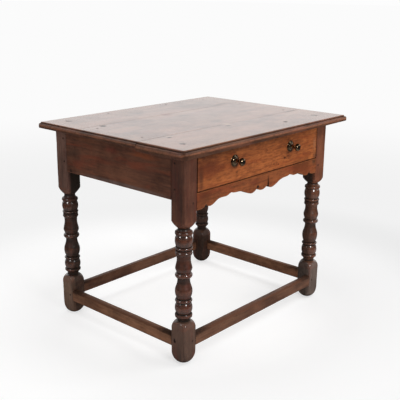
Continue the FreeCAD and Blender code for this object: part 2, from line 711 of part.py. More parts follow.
# ---------------------------------------------------------------- drawer support
def nail(start, direction, length):
    """A nail with a flat round head, its head at start."""
    outline = Outline(0, 0)
    outline.line(NAIL_HEAD_RADIUS, 0)
    outline.line(NAIL_HEAD_RADIUS, NAIL_HEAD_HEIGHT)
    outline.line(NAIL_RADIUS, NAIL_HEAD_HEIGHT)
    outline.line(NAIL_RADIUS, length)
    outline.line(0, length)
    return aimed(turned(outline), start, direction)


def nail_hole(face_point, direction, length):
    """The hole that sinks a nail's head below the face it is driven through."""
    head_radius = NAIL_HEAD_RADIUS + NAIL_CLEARANCE
    head = Part.makeCylinder(head_radius, NAIL_SUNK + NAIL_HEAD_HEIGHT, face_point, direction)
    shank = Part.makeCylinder(NAIL_RADIUS + NAIL_CLEARANCE, NAIL_SUNK + length, face_point, direction)
    return head.fuse(shank)


def driven(points, direction, length):
    """Nails driven in at the points, and their holes."""
    nails = [nail(point + direction * NAIL_SUNK, direction, length) for point in points]
    holes = [nail_hole(point, direction, length) for point in points]
    return nails, holes


def runner(inner_face, inward, clearance=0.0):
    """A runner beside the legs with a stub tenon into the front and the back rail."""
    across = (inner_face, inner_face + inward * RUNNER_WIDTH)
    run = (FRAME_FRONT + RAIL_THICKNESS, FRAME_BACK - RAIL_THICKNESS)
    body = bar("y", run, across, (RUNNER_BOTTOM, FRONT_RAIL_TOP))
    reach = RUNNER_TENON_LENGTH + clearance
    shoulder = RUNNER_SHOULDER - clearance
    stub_height = (RUNNER_BOTTOM + shoulder, FRONT_RAIL_TOP - shoulder)
    stub_across = (across[0] + inward * shoulder, across[1] - inward * shoulder)
    stub = bar("y", (run[0] - reach, run[1] + reach), stub_across, stub_height)
    if clearance:
        return stub
    return body.fuse(stub).removeSplitter()


def guide_nails():
    """Nails through the guides into the side rails, and their holes."""
    nails = []
    holes = []
    z = RUNNER_BOTTOM + GUIDE_HEIGHT - GUIDE_NAIL_FROM_TOP
    length = POST - RAIL_THICKNESS - NAIL_SUNK + GUIDE_NAIL_BITE
    for face, direction in ((INNER_LEFT, -X), (INNER_RIGHT, X)):
        points = [FreeCAD.Vector(face, y, z)
                  for y in (INNER_FRONT + GUIDE_NAIL_FROM_END, INNER_BACK - GUIDE_NAIL_FROM_END)]
        more_nails, more_holes = driven(points, direction, length)
        nails += more_nails
        holes += more_holes
    return nails, holes


def guide(rail_face, inner_face, holes):
    height = (RUNNER_BOTTOM, RUNNER_BOTTOM + GUIDE_HEIGHT)
    return cut(block((rail_face, inner_face), (INNER_FRONT, INNER_BACK), height), holes)


def stops():
    """The blocks on the back rail that the drawer back comes up against."""
    face = FRAME_BACK - RAIL_THICKNESS
    top = TOP_UNDERSIDE - STOP_DROP
    height = (top - STOP_HEIGHT, top)
    made = []
    for side in (-1, 1):
        x = FRAME_CENTRE + side * STOP_SPACING / 2
        made.append(block((x - STOP_WIDTH / 2, x + STOP_WIDTH / 2), (face - STOP_DEPTH, face), height))
    return made


# ---------------------------------------------------------------- drawer
def tails(xs, clearance=0.0):
    """The dovetails on the front end of a drawer side, between its faces at xs."""
    pitch = (SIDE_TOP - SIDE_BOTTOM) / DOVETAIL_COUNT
    tip = DRAWER_FACE + DOVETAIL_LAP
    made = []
    for index in range(DOVETAIL_COUNT):
        middle = SIDE_BOTTOM + pitch * (index + 0.5)
        wide = (pitch - DOVETAIL_PIN) / 2 + clearance
        narrow = wide - DOVETAIL_SPLAY
        corners = [(DRAWER_SHOULDER, -narrow), (tip - clearance, -wide), (tip - clearance, wide),
                   (DRAWER_SHOULDER, narrow)]
        points = [FreeCAD.Vector(min(xs), y, middle + dz) for y, dz in corners]
        section = Part.Face(Part.makePolygon(points + points[:1]))
        made.append(section.extrude(X * (max(xs) - min(xs))))
    return made


def drawer_side(outer, inner, holes):
    """A side: tails in front, a groove for the bottom along its inner face."""
    towards_outer = 1 if outer > inner else -1
    board = block((outer, inner), (DRAWER_SHOULDER, DRAWER_END), (SIDE_BOTTOM, SIDE_TOP))
    groove = block((inner, inner + towards_outer * GROOVE_DEPTH), (DRAWER_SHOULDER, DRAWER_END),
                   (BOTTOM_UNDERSIDE, BOTTOM_UPPER))
    return cut(board.cut(groove).fuse(tails((outer, inner))).removeSplitter(), holes)


def drawer_front(holes):
    """The drawer front with its groove, the sockets of the tails and the holes of the stems."""
    height = (DRAWER_FRONT_BOTTOM, DRAWER_FRONT_TOP)
    board = block((DRAWER_LEFT, DRAWER_RIGHT), (DRAWER_FACE, DRAWER_SHOULDER), height)
    groove_ys = (DRAWER_SHOULDER - GROOVE_DEPTH, DRAWER_SHOULDER)
    groove = block((DRAWER_INSIDE_LEFT, DRAWER_INSIDE_RIGHT), groove_ys, (BOTTOM_UNDERSIDE, BOTTOM_UPPER))
    left = (DRAWER_LEFT, DRAWER_INSIDE_LEFT + DOVETAIL_CLEARANCE)
    right = (DRAWER_INSIDE_RIGHT - DOVETAIL_CLEARANCE, DRAWER_RIGHT)
    sockets = tails(left, DOVETAIL_CLEARANCE) + tails(right, DOVETAIL_CLEARANCE)
    return cut(board, [groove] + sockets + holes)


def drawer_back(holes):
    board = block((DRAWER_INSIDE_LEFT, DRAWER_INSIDE_RIGHT), (BACK_FACE, DRAWER_END),
                  (BOTTOM_UPPER, SIDE_TOP - BACK_TOP_DROP))
    return cut(board, holes)


def drawer_bottoms(holes):
    """Boards that run from front to back in the grooves and lie under the drawer back."""
    reach = GROOVE_DEPTH - GROOVE_CLEARANCE
    left = DRAWER_INSIDE_LEFT - reach
    right = DRAWER_INSIDE_RIGHT + reach
    width = (right - left) / len(BOTTOM_BOARDS)
    height = (BOTTOM_UNDERSIDE, BOTTOM_UPPER)
    made = {}
    for index, name in enumerate(BOTTOM_BOARDS):
        xs = (left + index * width, left + (index + 1) * width)
        tongue_xs = (max(xs[0], DRAWER_INSIDE_LEFT), min(xs[1], DRAWER_INSIDE_RIGHT))
        board = block(xs, (DRAWER_SHOULDER, DRAWER_END), height)
        tongue = block(tongue_xs, (DRAWER_SHOULDER - reach, DRAWER_SHOULDER), height)
        made["drawer_bottom_" + name] = cut(board.fuse(tongue).removeSplitter(), holes)
    return made


def drawer_nails():
    """Nails through the sides and up through the bottom into the drawer back, and their holes."""
    y = (BACK_FACE + DRAWER_END) / 2
    low = BOTTOM_UPPER
    high = SIDE_TOP - BACK_TOP_DROP
    side_heights = [low + (high - low) * (index + 0.5) / SIDE_NAIL_COUNT
                    for index in range(SIDE_NAIL_COUNT)]
    span = DRAWER_INSIDE_RIGHT - DRAWER_INSIDE_LEFT
    bottom_places = [DRAWER_INSIDE_LEFT + span * (index + 0.5) / BOTTOM_NAIL_COUNT
                     for index in range(BOTTOM_NAIL_COUNT)]
    side_length = SIDE_THICKNESS - NAIL_SUNK + SIDE_NAIL_BITE
    bottom_length = BOTTOM_THICKNESS - NAIL_SUNK + BOTTOM_NAIL_BITE
    left_points = [FreeCAD.Vector(DRAWER_LEFT, y, z) for z in side_heights]
    right_points = [FreeCAD.Vector(DRAWER_RIGHT, y, z) for z in side_heights]
    bottom_points = [FreeCAD.Vector(x, y, BOTTOM_UNDERSIDE) for x in bottom_places]
    nails = []
    holes = []
    for points, direction, length in (
        (left_points, X, side_length),
        (right_points, -X, side_length),
        (bottom_points, Z, bottom_length),
    ):
        more_nails, more_holes = driven(points, direction, length)
        nails += more_nails
        holes += more_holes
    return nails, holes


# ---------------------------------------------------------------- knobs
# Drawn along +Z outwards from the drawer face.
def rose():
    """A domed round plate with a flat seat for the knob."""
    outline = Outline(STEM_RADIUS + STEM_CLEARANCE, 0)
    outline.line(ROSE_RADIUS, 0)
    outline.line(ROSE_RADIUS, ROSE_EDGE)
    outline.arc(ROSE_SEAT_RADIUS, ROSE_HEIGHT, ROSE_EDGE)
    outline.line(STEM_RADIUS + STEM_CLEARANCE, ROSE_HEIGHT)
    return turned(outline)


def knob():
    """A flattened round knob on a waisted neck, with a stem through the drawer front."""
    stem_end = -FRONT_THICKNESS - NUT_HEIGHT - STEM_PAST_NUT
    neck_top = ROSE_HEIGHT + NECK_LENGTH
    knob_middle = neck_top + KNOB_THICKNESS / 2
    knob_top = neck_top + KNOB_THICKNESS
    flare = KNOB_NECK_RADIUS + NECK_FLARE
    cheek = (KNOB_RADIUS - flare) * (1 - math.sqrt(0.5))
    outline = Outline(0, stem_end)
    outline.line(STEM_RADIUS, stem_end)
    outline.line(STEM_RADIUS, ROSE_HEIGHT)
    outline.line(ROSE_SEAT_RADIUS, ROSE_HEIGHT)
    outline.arc(flare, neck_top, -NECK_FLARE)
    outline.arc(KNOB_RADIUS, knob_middle, cheek)
    outline.arc(KNOB_FACE_RADIUS, knob_top, cheek)
    outline.line(0, knob_top)
    return turned(outline)


def nut():
    """A square nut with chamfered corners on the inner face of the drawer front."""
    half = NUT_WIDTH / 2
    body = block((-half, half), (-half, half), (-FRONT_THICKNESS - NUT_HEIGHT, -FRONT_THICKNESS))
    outline = Outline(STEM_RADIUS + STEM_CLEARANCE, -FRONT_THICKNESS)
    outline.line(half * math.sqrt(2), -FRONT_THICKNESS)
    outline.line(half * math.sqrt(2), -FRONT_THICKNESS - NUT_HEIGHT + NUT_CHAMFER)
    outline.line(half, -FRONT_THICKNESS - NUT_HEIGHT)
    outline.line(STEM_RADIUS + STEM_CLEARANCE, -FRONT_THICKNESS - NUT_HEIGHT)
    return body.common(turned(outline))


def knob_pieces():
    """Both knobs with their plates and nuts, and the holes for their stems."""
    made = {}
    holes = []
    for name, side in (("left", -1), ("right", 1)):
        point = FreeCAD.Vector(KNOB_CENTRE + side * KNOB_SPACING / 2, DRAWER_FACE, KNOB_HEIGHT)
        made["knob_rose_" + name] = aimed(rose(), point, -Y)
        made["knob_" + name] = aimed(knob(), point, -Y)
        made["knob_nut_" + name] = aimed(nut(), point, -Y)
        holes.append(Part.makeCylinder(STEM_RADIUS + STEM_CLEARANCE, FRONT_THICKNESS, point, Y))
    return made, holes


# ---------------------------------------------------------------- the whole table
def table_frame():
    rails = rail_members()
    stretchers = stretcher_members()
    pegs, peg_holes = top_pegs()
    nails, nail_holes = guide_nails()
    mortises = []
    for member in list(rails.values()) + list(stretchers.values()):
        mortises.append(member.mortises())
        peg_holes += member.peg_holes()
    runners = {"left": (INNER_LEFT, 1), "right": (INNER_RIGHT, -1)}
    runner_mortises = [runner(face, inward, MORTISE_CLEARANCE) for face, inward in runners.values()]

    made = top_boards(peg_holes)
    made["top_pegs"] = Part.makeCompound(pegs)
    made.update(legs(mortises + peg_holes))
    for name, member in rails.items():
        made[name] = member.solid(peg_holes + nail_holes + runner_mortises)
    for name, member in stretchers.items():
        made[name] = member.solid(peg_holes)
    made["rail_pegs"] = Part.makeCompound(member_pegs(rails, sunk=()))
    made["stretcher_pegs"] = Part.makeCompound(member_pegs(stretchers, sunk=("stretcher_left",)))
    for name, (face, inward) in runners.items():
        made["drawer_runner_" + name] = runner(face, inward)
    made["drawer_guide_left"] = guide(FRAME_LEFT + RAIL_THICKNESS, INNER_LEFT, nail_holes)
    made["drawer_guide_right"] = guide(FRAME_RIGHT - RAIL_THICKNESS, INNER_RIGHT, nail_holes)
    made["guide_nails"] = Part.makeCompound(nails)
    made["drawer_stops"] = Part.makeCompound(stops())
    return made


def member_pegs(members, sunk):
    """The pegs of the tenons, the first one of each member named in sunk below the surface."""
    pegs = []
    for name, member in members.items():
        proud = [PEG_PROUD] * (2 * len(member.peg_heights))
        if name in sunk:
            proud[0] = -SUNK_PEG_DEPTH
        pegs += member.pegs(proud)
    return pegs


def drawer():
    nails, nail_holes = drawer_nails()
    made, stem_holes = knob_pieces()
    made["drawer_front"] = drawer_front(stem_holes)
    made["drawer_side_left"] = drawer_side(DRAWER_LEFT, DRAWER_INSIDE_LEFT, nail_holes)
    made["drawer_side_right"] = drawer_side(DRAWER_RIGHT, DRAWER_INSIDE_RIGHT, nail_holes)
    made["drawer_back"] = drawer_back(nail_holes)
    made.update(drawer_bottoms(nail_holes))
    made["drawer_nails"] = Part.makeCompound(nails)
    return made


os.makedirs("parts", exist_ok=True)
pieces = table_frame()
pieces.update(drawer())
for node, shape in pieces.items():
    shape.exportStep("parts/" + node + ".step")
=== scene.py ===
import json
import math

import bmesh
import bpy
from mathutils import Matrix, Vector, kdtree, noise

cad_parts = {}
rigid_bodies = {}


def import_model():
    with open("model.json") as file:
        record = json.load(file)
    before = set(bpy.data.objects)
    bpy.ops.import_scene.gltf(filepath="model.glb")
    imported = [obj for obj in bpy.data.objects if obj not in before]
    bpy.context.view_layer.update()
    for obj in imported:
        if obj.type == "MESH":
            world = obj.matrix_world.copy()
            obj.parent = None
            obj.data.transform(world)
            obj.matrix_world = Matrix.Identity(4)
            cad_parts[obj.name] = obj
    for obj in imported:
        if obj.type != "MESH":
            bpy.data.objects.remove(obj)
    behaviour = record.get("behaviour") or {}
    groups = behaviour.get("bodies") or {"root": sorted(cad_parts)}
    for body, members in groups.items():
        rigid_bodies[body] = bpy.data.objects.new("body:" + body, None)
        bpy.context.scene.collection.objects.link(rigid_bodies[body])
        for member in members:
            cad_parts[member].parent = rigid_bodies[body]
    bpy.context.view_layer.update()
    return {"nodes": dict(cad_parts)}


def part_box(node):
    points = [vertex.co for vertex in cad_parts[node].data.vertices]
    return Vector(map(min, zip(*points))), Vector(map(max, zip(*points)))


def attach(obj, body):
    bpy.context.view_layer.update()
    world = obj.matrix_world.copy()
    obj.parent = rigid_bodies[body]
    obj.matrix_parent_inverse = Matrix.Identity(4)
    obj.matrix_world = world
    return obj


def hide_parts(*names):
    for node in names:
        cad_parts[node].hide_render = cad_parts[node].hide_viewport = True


# An oak tavern table: the worn, waxed and knocked about surface of every board, leg and peg,
# built round the plain solids. Metres, X along the drawer front, Y into the depth, Z up.
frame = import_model()
MM = 0.001


# ------------------------------------------------------------------ places read from the solids
def corner_low(node):
    """The left, front and lower corner of a solid's box."""
    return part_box(node)[0]


def corner_high(node):
    """The right, back and upper corner of a solid's box."""
    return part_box(node)[1]


LEFT = corner_low("side_rail_left").x
RIGHT = corner_high("side_rail_right").x
FRONT = corner_low("front_rail").y
BACK = corner_high("back_rail").y
CENTRE = (LEFT + RIGHT) / 2
TOP = corner_high("top_board_middle").z
UNDERSIDE = corner_low("top_board_middle").z
BOARD_THICK = TOP - UNDERSIDE
POST = corner_high("leg_front_left").x - corner_low("leg_front_left").x    # a leg's square
RAIL_BOTTOM = corner_low("back_rail").z
STRETCHER_LOW = corner_low("stretcher_front").z
STRETCHER_HIGH = corner_high("stretcher_front").z
THICK = corner_high("front_rail").y - FRONT                 # of rails and stretchers
INNER_LEFT = LEFT + POST
INNER_RIGHT = RIGHT - POST
INNER_FRONT = FRONT + POST
INNER_BACK = BACK - POST


# ------------------------------------------------------------------ small tools
def colour(red, green, blue):
    """A paint colour given as 0 to 255, for a shader."""
    def channel(value):
        value = value / 255
        return value / 12.92 if value <= 0.04045 else ((value + 0.055) / 1.055) ** 2.4
    return (channel(red), channel(green), channel(blue), 1.0)


def ripple(point, scale, seed=0.0):
    """Smooth unevenness from -1 to 1."""
    x, y, z = point
    return noise.noise(Vector((x * scale + seed, y * scale - seed, z * scale + 2 * seed)))


def smooth_step(low, high, value):
    """Runs smoothly from 0 to 1 as value goes from low to high, which may be the smaller."""
    share = min(1.0, max(0.0, (value - low) / (high - low)))
    return share * share * (3 - 2 * share)


def spread(start, end, step, ends=(0.0, 4 * MM, 10 * MM)):
    """Stations from start to end: close together at both ends, a step apart between."""
    inner = [start + offset for offset in ends]
    last = [end - offset for offset in reversed(ends)]
    space = last[0] - inner[-1]
    count = max(1, round(space / step))
    middle = [inner[-1] + space * index / count for index in range(1, count)]
    return inner + middle + last


def loft(rings):
    """Faces between rings of equally many points, with a face over each end."""
    count = len(rings[0])
    points = [point for ring in rings for point in ring]
    faces = []
    for low in range(0, len(points) - count, count):
        for column in range(count):
            after = (column + 1) % count
            faces.append((low + column, low + after, low + count + after, low + count + column))
    faces.append(tuple(reversed(range(count))))
    faces.append(tuple(range(len(points) - count, len(points))))
    return points, faces


# ------------------------------------------------------------------ pieces
# What each point of a worn piece can hold: its place in the board, how rubbed it is, with some
# painted highlight, how dirty it is, with some painted shade, which tone it takes and how
# polished it is
FIELDS = ("grain", "rub", "dirt", "zone", "polish")


def finish_piece(name, mesh, body, nodes, material, sharp=40):
    """Puts a finished mesh into the scene on its body, in place of its solids."""
    mesh.shade_smooth()
    mesh.set_sharp_from_angle(angle=math.radians(sharp))
    mesh.materials.clear()
    mesh.materials.append(material)
    piece = bpy.data.objects.new(name, mesh)
    bpy.context.scene.collection.objects.link(piece)
    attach(piece, body)
    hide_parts(*nodes)
    return piece


def write_marks(mesh, grain, **fields):
    """Stores where each point lies in its board, and fields such as how rubbed it is."""
    stored = mesh.attributes.new("grain", "FLOAT_VECTOR", "POINT")
    stored.data.foreach_set("vector", [value for point in grain for value in point])
    for name, values in fields.items():
        mesh.attributes.new(name, "FLOAT", "POINT").data.foreach_set("value", values)


def mesh_from(name, points, faces, grain, turn=False, **fields):
    """A mesh with its fields. turn is for faces that were listed the wrong way round."""
    mesh = bpy.data.meshes.new(name)
    if turn:
        faces = [tuple(reversed(face)) for face in faces]
    mesh.from_pydata([tuple(point) for point in points], [], faces)
    write_marks(mesh, grain, **fields)
    mesh.validate()
    return mesh


def board_offset(seed):
    """Where in the log a board was sawn, so that no two boards show the same figure."""
    return Vector((seed * 1.37, seed * 0.61, seed * 0.29))


# ------------------------------------------------------------------ squared timber
ARC_POINTS = 4                   # facets of a worn arris
ARRIS_WAVER = 0.45               # how much the width of an arris varies along a board
FACE_STEP = 22 * MM              # between the lines across a face
RUN_STEP = 14 * MM               # between the stations along a board
JOINT_GRIME = 0.5                # dirt right beside a joint


def worn_section(low, high, radii, divisions):
    """Points round a rectangle with rounded corners: (u, v, angle of the normal, rub)."""
    corners = ((low[0], low[1], 180), (high[0], low[1], 270), (high[0], high[1], 0),
               (low[0], high[1], 90))
    arcs = []
    for (corner_u, corner_v, start), (radius_u, radius_v) in zip(corners, radii):
        centre_u = corner_u + radius_u if corner_u == low[0] else corner_u - radius_u
        centre_v = corner_v + radius_v if corner_v == low[1] else corner_v - radius_v
        arc = []
        for index in range(ARC_POINTS + 1):
            angle = math.radians(start + 90 * index / ARC_POINTS)
            arc.append((centre_u + radius_u * math.cos(angle),
                        centre_v + radius_v * math.sin(angle), angle, 1.0))
        arcs.append(arc)
    points = []
    for index, arc in enumerate(arcs):
        points += arc
        (from_u, from_v, angle, _), (to_u, to_v, _, _) = arc[-1], arcs[(index + 1) % 4][0]
        length = math.hypot(to_u - from_u, to_v - from_v)
        margin = min(3 * MM, length / 4)
        shares = [margin / length + (1 - 2 * margin / length) * step / divisions[index]
                  for step in range(divisions[index] + 1)]
        points += [(from_u + (to_u - from_u) * share, from_v + (to_v - from_v) * share, angle, 0.0)
                   for share in shares]
    return points


def timber(name, axis, low, high, arris, seed, stations=None, lower=None, worn=None,
           unevenness=0.35 * MM, top_arris=None, corner_dirt=0.0):
    """A length of squared timber along X or Y with uneven faces and worn arrises.

    lower gives the height of its lower edge along its length, and worn the extra wear of its
    outer top arris, as (width, depth). The last argument is how much darker its top gets towards
    the legs.
    """
    along = 0 if axis == "x" else 1
    across = 1 - along
    wide = high[across] - low[across]
    tall = high[2] - low[2]
    divisions = [max(1, round(size / FACE_STEP)) for size in (wide, tall, wide, tall)]
    stations = stations or spread(low[along], high[along], RUN_STEP)
    rings = []
    grain = []
    rub = []
    dirt = []
    outer_low, outer_high = (FRONT, BACK) if axis == "x" else (LEFT, RIGHT)
    outer_is_low = abs(low[across] - outer_low) < abs(high[across] - outer_high)
    for station in stations:
        bottom = lower(station) if lower else low[2]
        radii = []
        for index in range(4):
            waver = 1 + ARRIS_WAVER * ripple((station, index * 0.3, 0), 22, seed)
            size = (top_arris if top_arris and index > 1 else arris) * waver
            radii.append((size, size))
        if worn:
            width, depth = worn(station)
            radii[3 if outer_is_low else 2] = (width, depth)
        section = worn_section((low[across], bottom), (high[across], high[2]), radii, divisions)
        ring = []
        for u, v, angle, rubbed in section:
            uneven = unevenness * (0.5 + 0.5 * ripple((station, u, v), 9, seed))
            uneven += 0.3 * unevenness * (0.5 + 0.5 * ripple((station, u, v), 45, seed))
            u -= uneven * math.cos(angle)
            v -= uneven * math.sin(angle)
            point = [0.0, 0.0, v]
            point[along] = station
            point[across] = u
            ring.append(point)
            grain.append(Vector((station, v, u)) + board_offset(seed))
            rub.append(rubbed)
            end = min(station - stations[0], stations[-1] - station)
            on_top = smooth_step(14 * MM, 5 * MM, high[2] - v)
            dirt.append(max(JOINT_GRIME * smooth_step(5 * MM, 0, end),
                            corner_dirt * on_top * smooth_step(110 * MM, 20 * MM, end)))
        rings.append(ring)
    points, faces = loft(rings)
    return mesh_from(name, points, faces, grain, turn=(axis == "y"), rub=rub, dirt=dirt)


# ------------------------------------------------------------------ turned legs
BLOCK_RADIUS = POST / MM / math.sqrt(2) - 0.85
FOOT_HEIGHT = 36.0               # of the rounded foot, all of these in millimetres
LOWER_BLOCK_TOP = 122.0
UPPER_BLOCK_BOTTOM = 476.5
UPPER_SHOULDER = 19.0            # the turned shoulders next to the blocks
LOWER_SHOULDER = 24.0
CORNER_BLEND = 0.7               # how softly the turning runs into a block's flats
HAND_WAVE = 0.22                 # unevenness of the whole leg
NECK = 18.6
GROOVE = 22.6
RING = 27.2
LIP = 27.5
BALL = 27.6
LOWER_VASE = ((0.0, 21.6), (0.10, 24.2), (0.22, 26.4), (0.34, 27.2), (0.49, 26.3), (0.63, 23.2),
              (0.79, 20.3), (0.91, 19.5), (1.0, 19.8))
UPPER_VASE = ((0.0, 21.8), (0.08, 23.4), (0.31, 26.4), (0.47, 25.3), (0.67, 23.0), (0.90, 21.5),
              (1.0, 21.8))
# Turned members from the lower block up: (height, radius below, radius above, bulge), or for a
# vase (height, its outline as shares of the height and radii)
TURNING = (
    (27.5, BLOCK_RADIUS, 19.5, 5.0), (2.5, NECK, NECK, 0.0), (13.5, NECK, 26.6, -1.9),
    (8.0, 25.6, 25.6, LIP - 25.6), (1.0, GROOVE, GROOVE, 0.0), (34.0, 23.0, 23.0, BALL - 23.0),
    (3.0, GROOVE, GROOVE, 0.0), (8.0, 23.8, 23.8, RING - 23.8), (2.5, 21.8, 21.8, 0.0),
    (68.0, LOWER_VASE), (1.0, 20.5, 20.5, 0.0), (15.5, 21.5, 21.5, RING - 21.5),
    (1.5, 21.5, 21.5, 0.0), (49.0, UPPER_VASE), (10.5, 21.8, 24.0, -1.0), (10.0, 24.2, 24.2, 2.2),
    (4.0, 25.2, 25.2, 0.2), (2.5, GROOVE, GROOVE, 0.0), (7.0, 24.2, 24.2, RING - 24.2),
    (1.0, GROOVE, GROOVE, 0.0), (37.0, 23.2, 23.2, BALL - 23.2), (1.0, GROOVE, GROOVE, 0.0),
    (9.0, 25.8, 25.8, LIP - 25.8), (11.0, 26.3, NECK, -1.7), (3.0, NECK, NECK, 0.0),
    (3.5, NECK, 20.5, -0.3), (20.0, 20.5, BLOCK_RADIUS, 1.0),
)
# Turned by hand, no two legs are alike: how stout each shaft is, and how far up the members at
# each height above the lower block are moved
LEG_HAND = {
    "leg_front_left": (1.02, ((0, 0), (14, -2.5), (27.5, -3.5), (30, -2.5), (43.5, -6.5),
                              (51.5, -3), (52.5, -1.5), (86.5, -2), (100, 0.5), (123, 0), (161, -1),
                              (177, 1), (187, 1.5), (202, -1.5), (232, -2), (251, -1), (262, 0),
                              (270, 1.5), (288, 3.5), (307, 1.5), (314, 3.5), (328, 0.5),
                              (334.5, -2), (354.5, -1.5))),
    "leg_front_right": (1.05, ((0, 0), (27.5, 0.5), (43.5, 1), (51.5, 2), (69, 4.5), (88, 4.5),
                               (95, 5.5), (102, 5), (124, 7.5), (162, 10), (177, 11), (189, 9.5),
                               (202, 12.5), (232, 8.5), (243, 6), (259.5, 5.5), (265, 4.5),
                               (269.5, 8), (288, 9.5), (307, 8), (314, 9), (328, 7), (334.5, 4),
                               (354.5, 2))),
    "leg_back_left": (1.03, ((0, 0), (93, -1), (96, -2), (160, -1), (177, -2), (187, 0), (202, -3),
                             (232, 0), (285, 0.5), (305, -2), (314, -1), (328, -3), (354.5, 0))),
    "leg_back_right": (1.02, ((0, 0), (60, 1.5), (123, -1.5), (202, 1.5), (288, -2), (354.5, 0))),
}


def shift_at(drift, height):
    """How far a height of the turned pattern is moved up on a leg."""
    for (low, low_shift), (high, high_shift) in zip(drift, drift[1:]):
        if height <= high:
            return low_shift + (high_shift - low_shift) * (height - low) / (high - low)
    return drift[-1][1]


def arc_points(start, end, bulge, count):
    """Points on an arc from start to end that stands out by bulge at its middle."""
    if abs(bulge) < 1e-6:
        return [start, end]
    chord = math.hypot(end[0] - start[0], end[1] - start[1])
    radius = (chord * chord / 4 + bulge * bulge) / (2 * abs(bulge))
    half = math.asin(min(1.0, chord / 2 / radius))
    if abs(bulge) > radius:
        half = math.pi - half
    out = ((end[1] - start[1]) / chord, (start[0] - end[0]) / chord)
    way = ((end[0] - start[0]) / chord, (end[1] - start[1]) / chord)
    sign = 1 if bulge > 0 else -1
    points = []
    for index in range(count + 1):
        angle = half * (2 * index / count - 1)
        run = chord / 2 + radius * math.sin(angle)
        rise = sign * (radius * math.cos(angle) - radius + abs(bulge))
        points.append((start[0] + way[0] * run + out[0] * rise,
                       start[1] + way[1] * run + out[1] * rise))
    return points


def smooth_points(points, count):
    """Points on a smooth curve through the given (share, value) points."""
    made = []
    for index in range(count + 1):
        share = index / count
        place = max(i for i in range(len(points) - 1) if points[i][0] <= share + 1e-9)
        before = points[max(0, place - 1)]
        here = points[place]
        after = points[place + 1]
        beyond = points[min(len(points) - 1, place + 2)]
        gap = after[0] - here[0]
        t = (share - here[0]) / gap
        slope_here = (after[1] - before[1]) / (after[0] - before[0]) * gap
        slope_after = (beyond[1] - here[1]) / (beyond[0] - here[0]) * gap
        value = ((2 * t**3 - 3 * t**2 + 1) * here[1] + (t**3 - 2 * t**2 + t) * slope_here
                 + (3 * t**2 - 2 * t**3) * after[1] + (t**3 - t**2) * slope_after)
        made.append((share, value))
    return made


def leg_outline(name):
    """The half outline of a leg: (radius, height, grime and painted shade, shine), the grime
    and shade being 1 in the quirks.
    """
    girth, drift = LEG_HAND[name]
    rows = [(9.5, 0.0, 1.0, 0.0)]
    for radius, z in arc_points((9.5, 0.0), (BLOCK_RADIUS, FOOT_HEIGHT), 7.1, 12)[1:]:
        rows.append((radius, z, 0.7 * (1 - z / FOOT_HEIGHT), 0.0))
    for index in range(1, 9):
        height = FOOT_HEIGHT + (LOWER_BLOCK_TOP - FOOT_HEIGHT) * index / 8
        rows.append((BLOCK_RADIUS, height, 0.0, 0.0))

    def moved(height):
        return LOWER_BLOCK_TOP + height + shift_at(drift, height)

    def stout(radius):
        return radius if radius == BLOCK_RADIUS else radius * girth

    height = 0.0
    for member in TURNING:
        top = height + member[0]
        if len(member) == 2:
            rows += [(stout(radius), moved(height + share * member[0]), 0.0, 0.45)
                     for share, radius in smooth_points(member[1], 26)]
        else:
            rise, below, above, bulge = member
            count = max(3, round(rise / 1.6)) if abs(bulge) > 1e-6 else 1
            points = arc_points((stout(below), moved(height)), (stout(above), moved(top)), bulge,
                                min(count, 16))
            quirk = 0.9 if rise < 3.2 else 0.0
            plain = BLOCK_RADIUS in (below, above)
            for place, (radius, z) in enumerate(points):
                edge = 0.8 if place in (0, len(points) - 1) and not plain else 0.0
                rows.append((radius, z, max(quirk, edge), smooth_step(1.0, 3.0, bulge)))
        height = top
    block = UNDERSIDE / MM - rows[-1][1]
    start = rows[-1][1]
    for index in range(1, 19):
        rows.append((BLOCK_RADIUS, start + block * index / 18, 0.0, 0.0))
    return rows


def leg_angles():
    """Directions round a leg in degrees, closest together at the corners of its square blocks."""
    half = (0.0, 4.5, 9.0, 13.5, 18.0, 22.5, 27.0, 31.0, 34.5, 37.5, 40.0, 42.0, 43.2, 44.2, 45.0)
    quarter = [-angle for angle in reversed(half[1:-1])] + list(half)
    return [90 * side + angle for side in range(4) for angle in quarter]


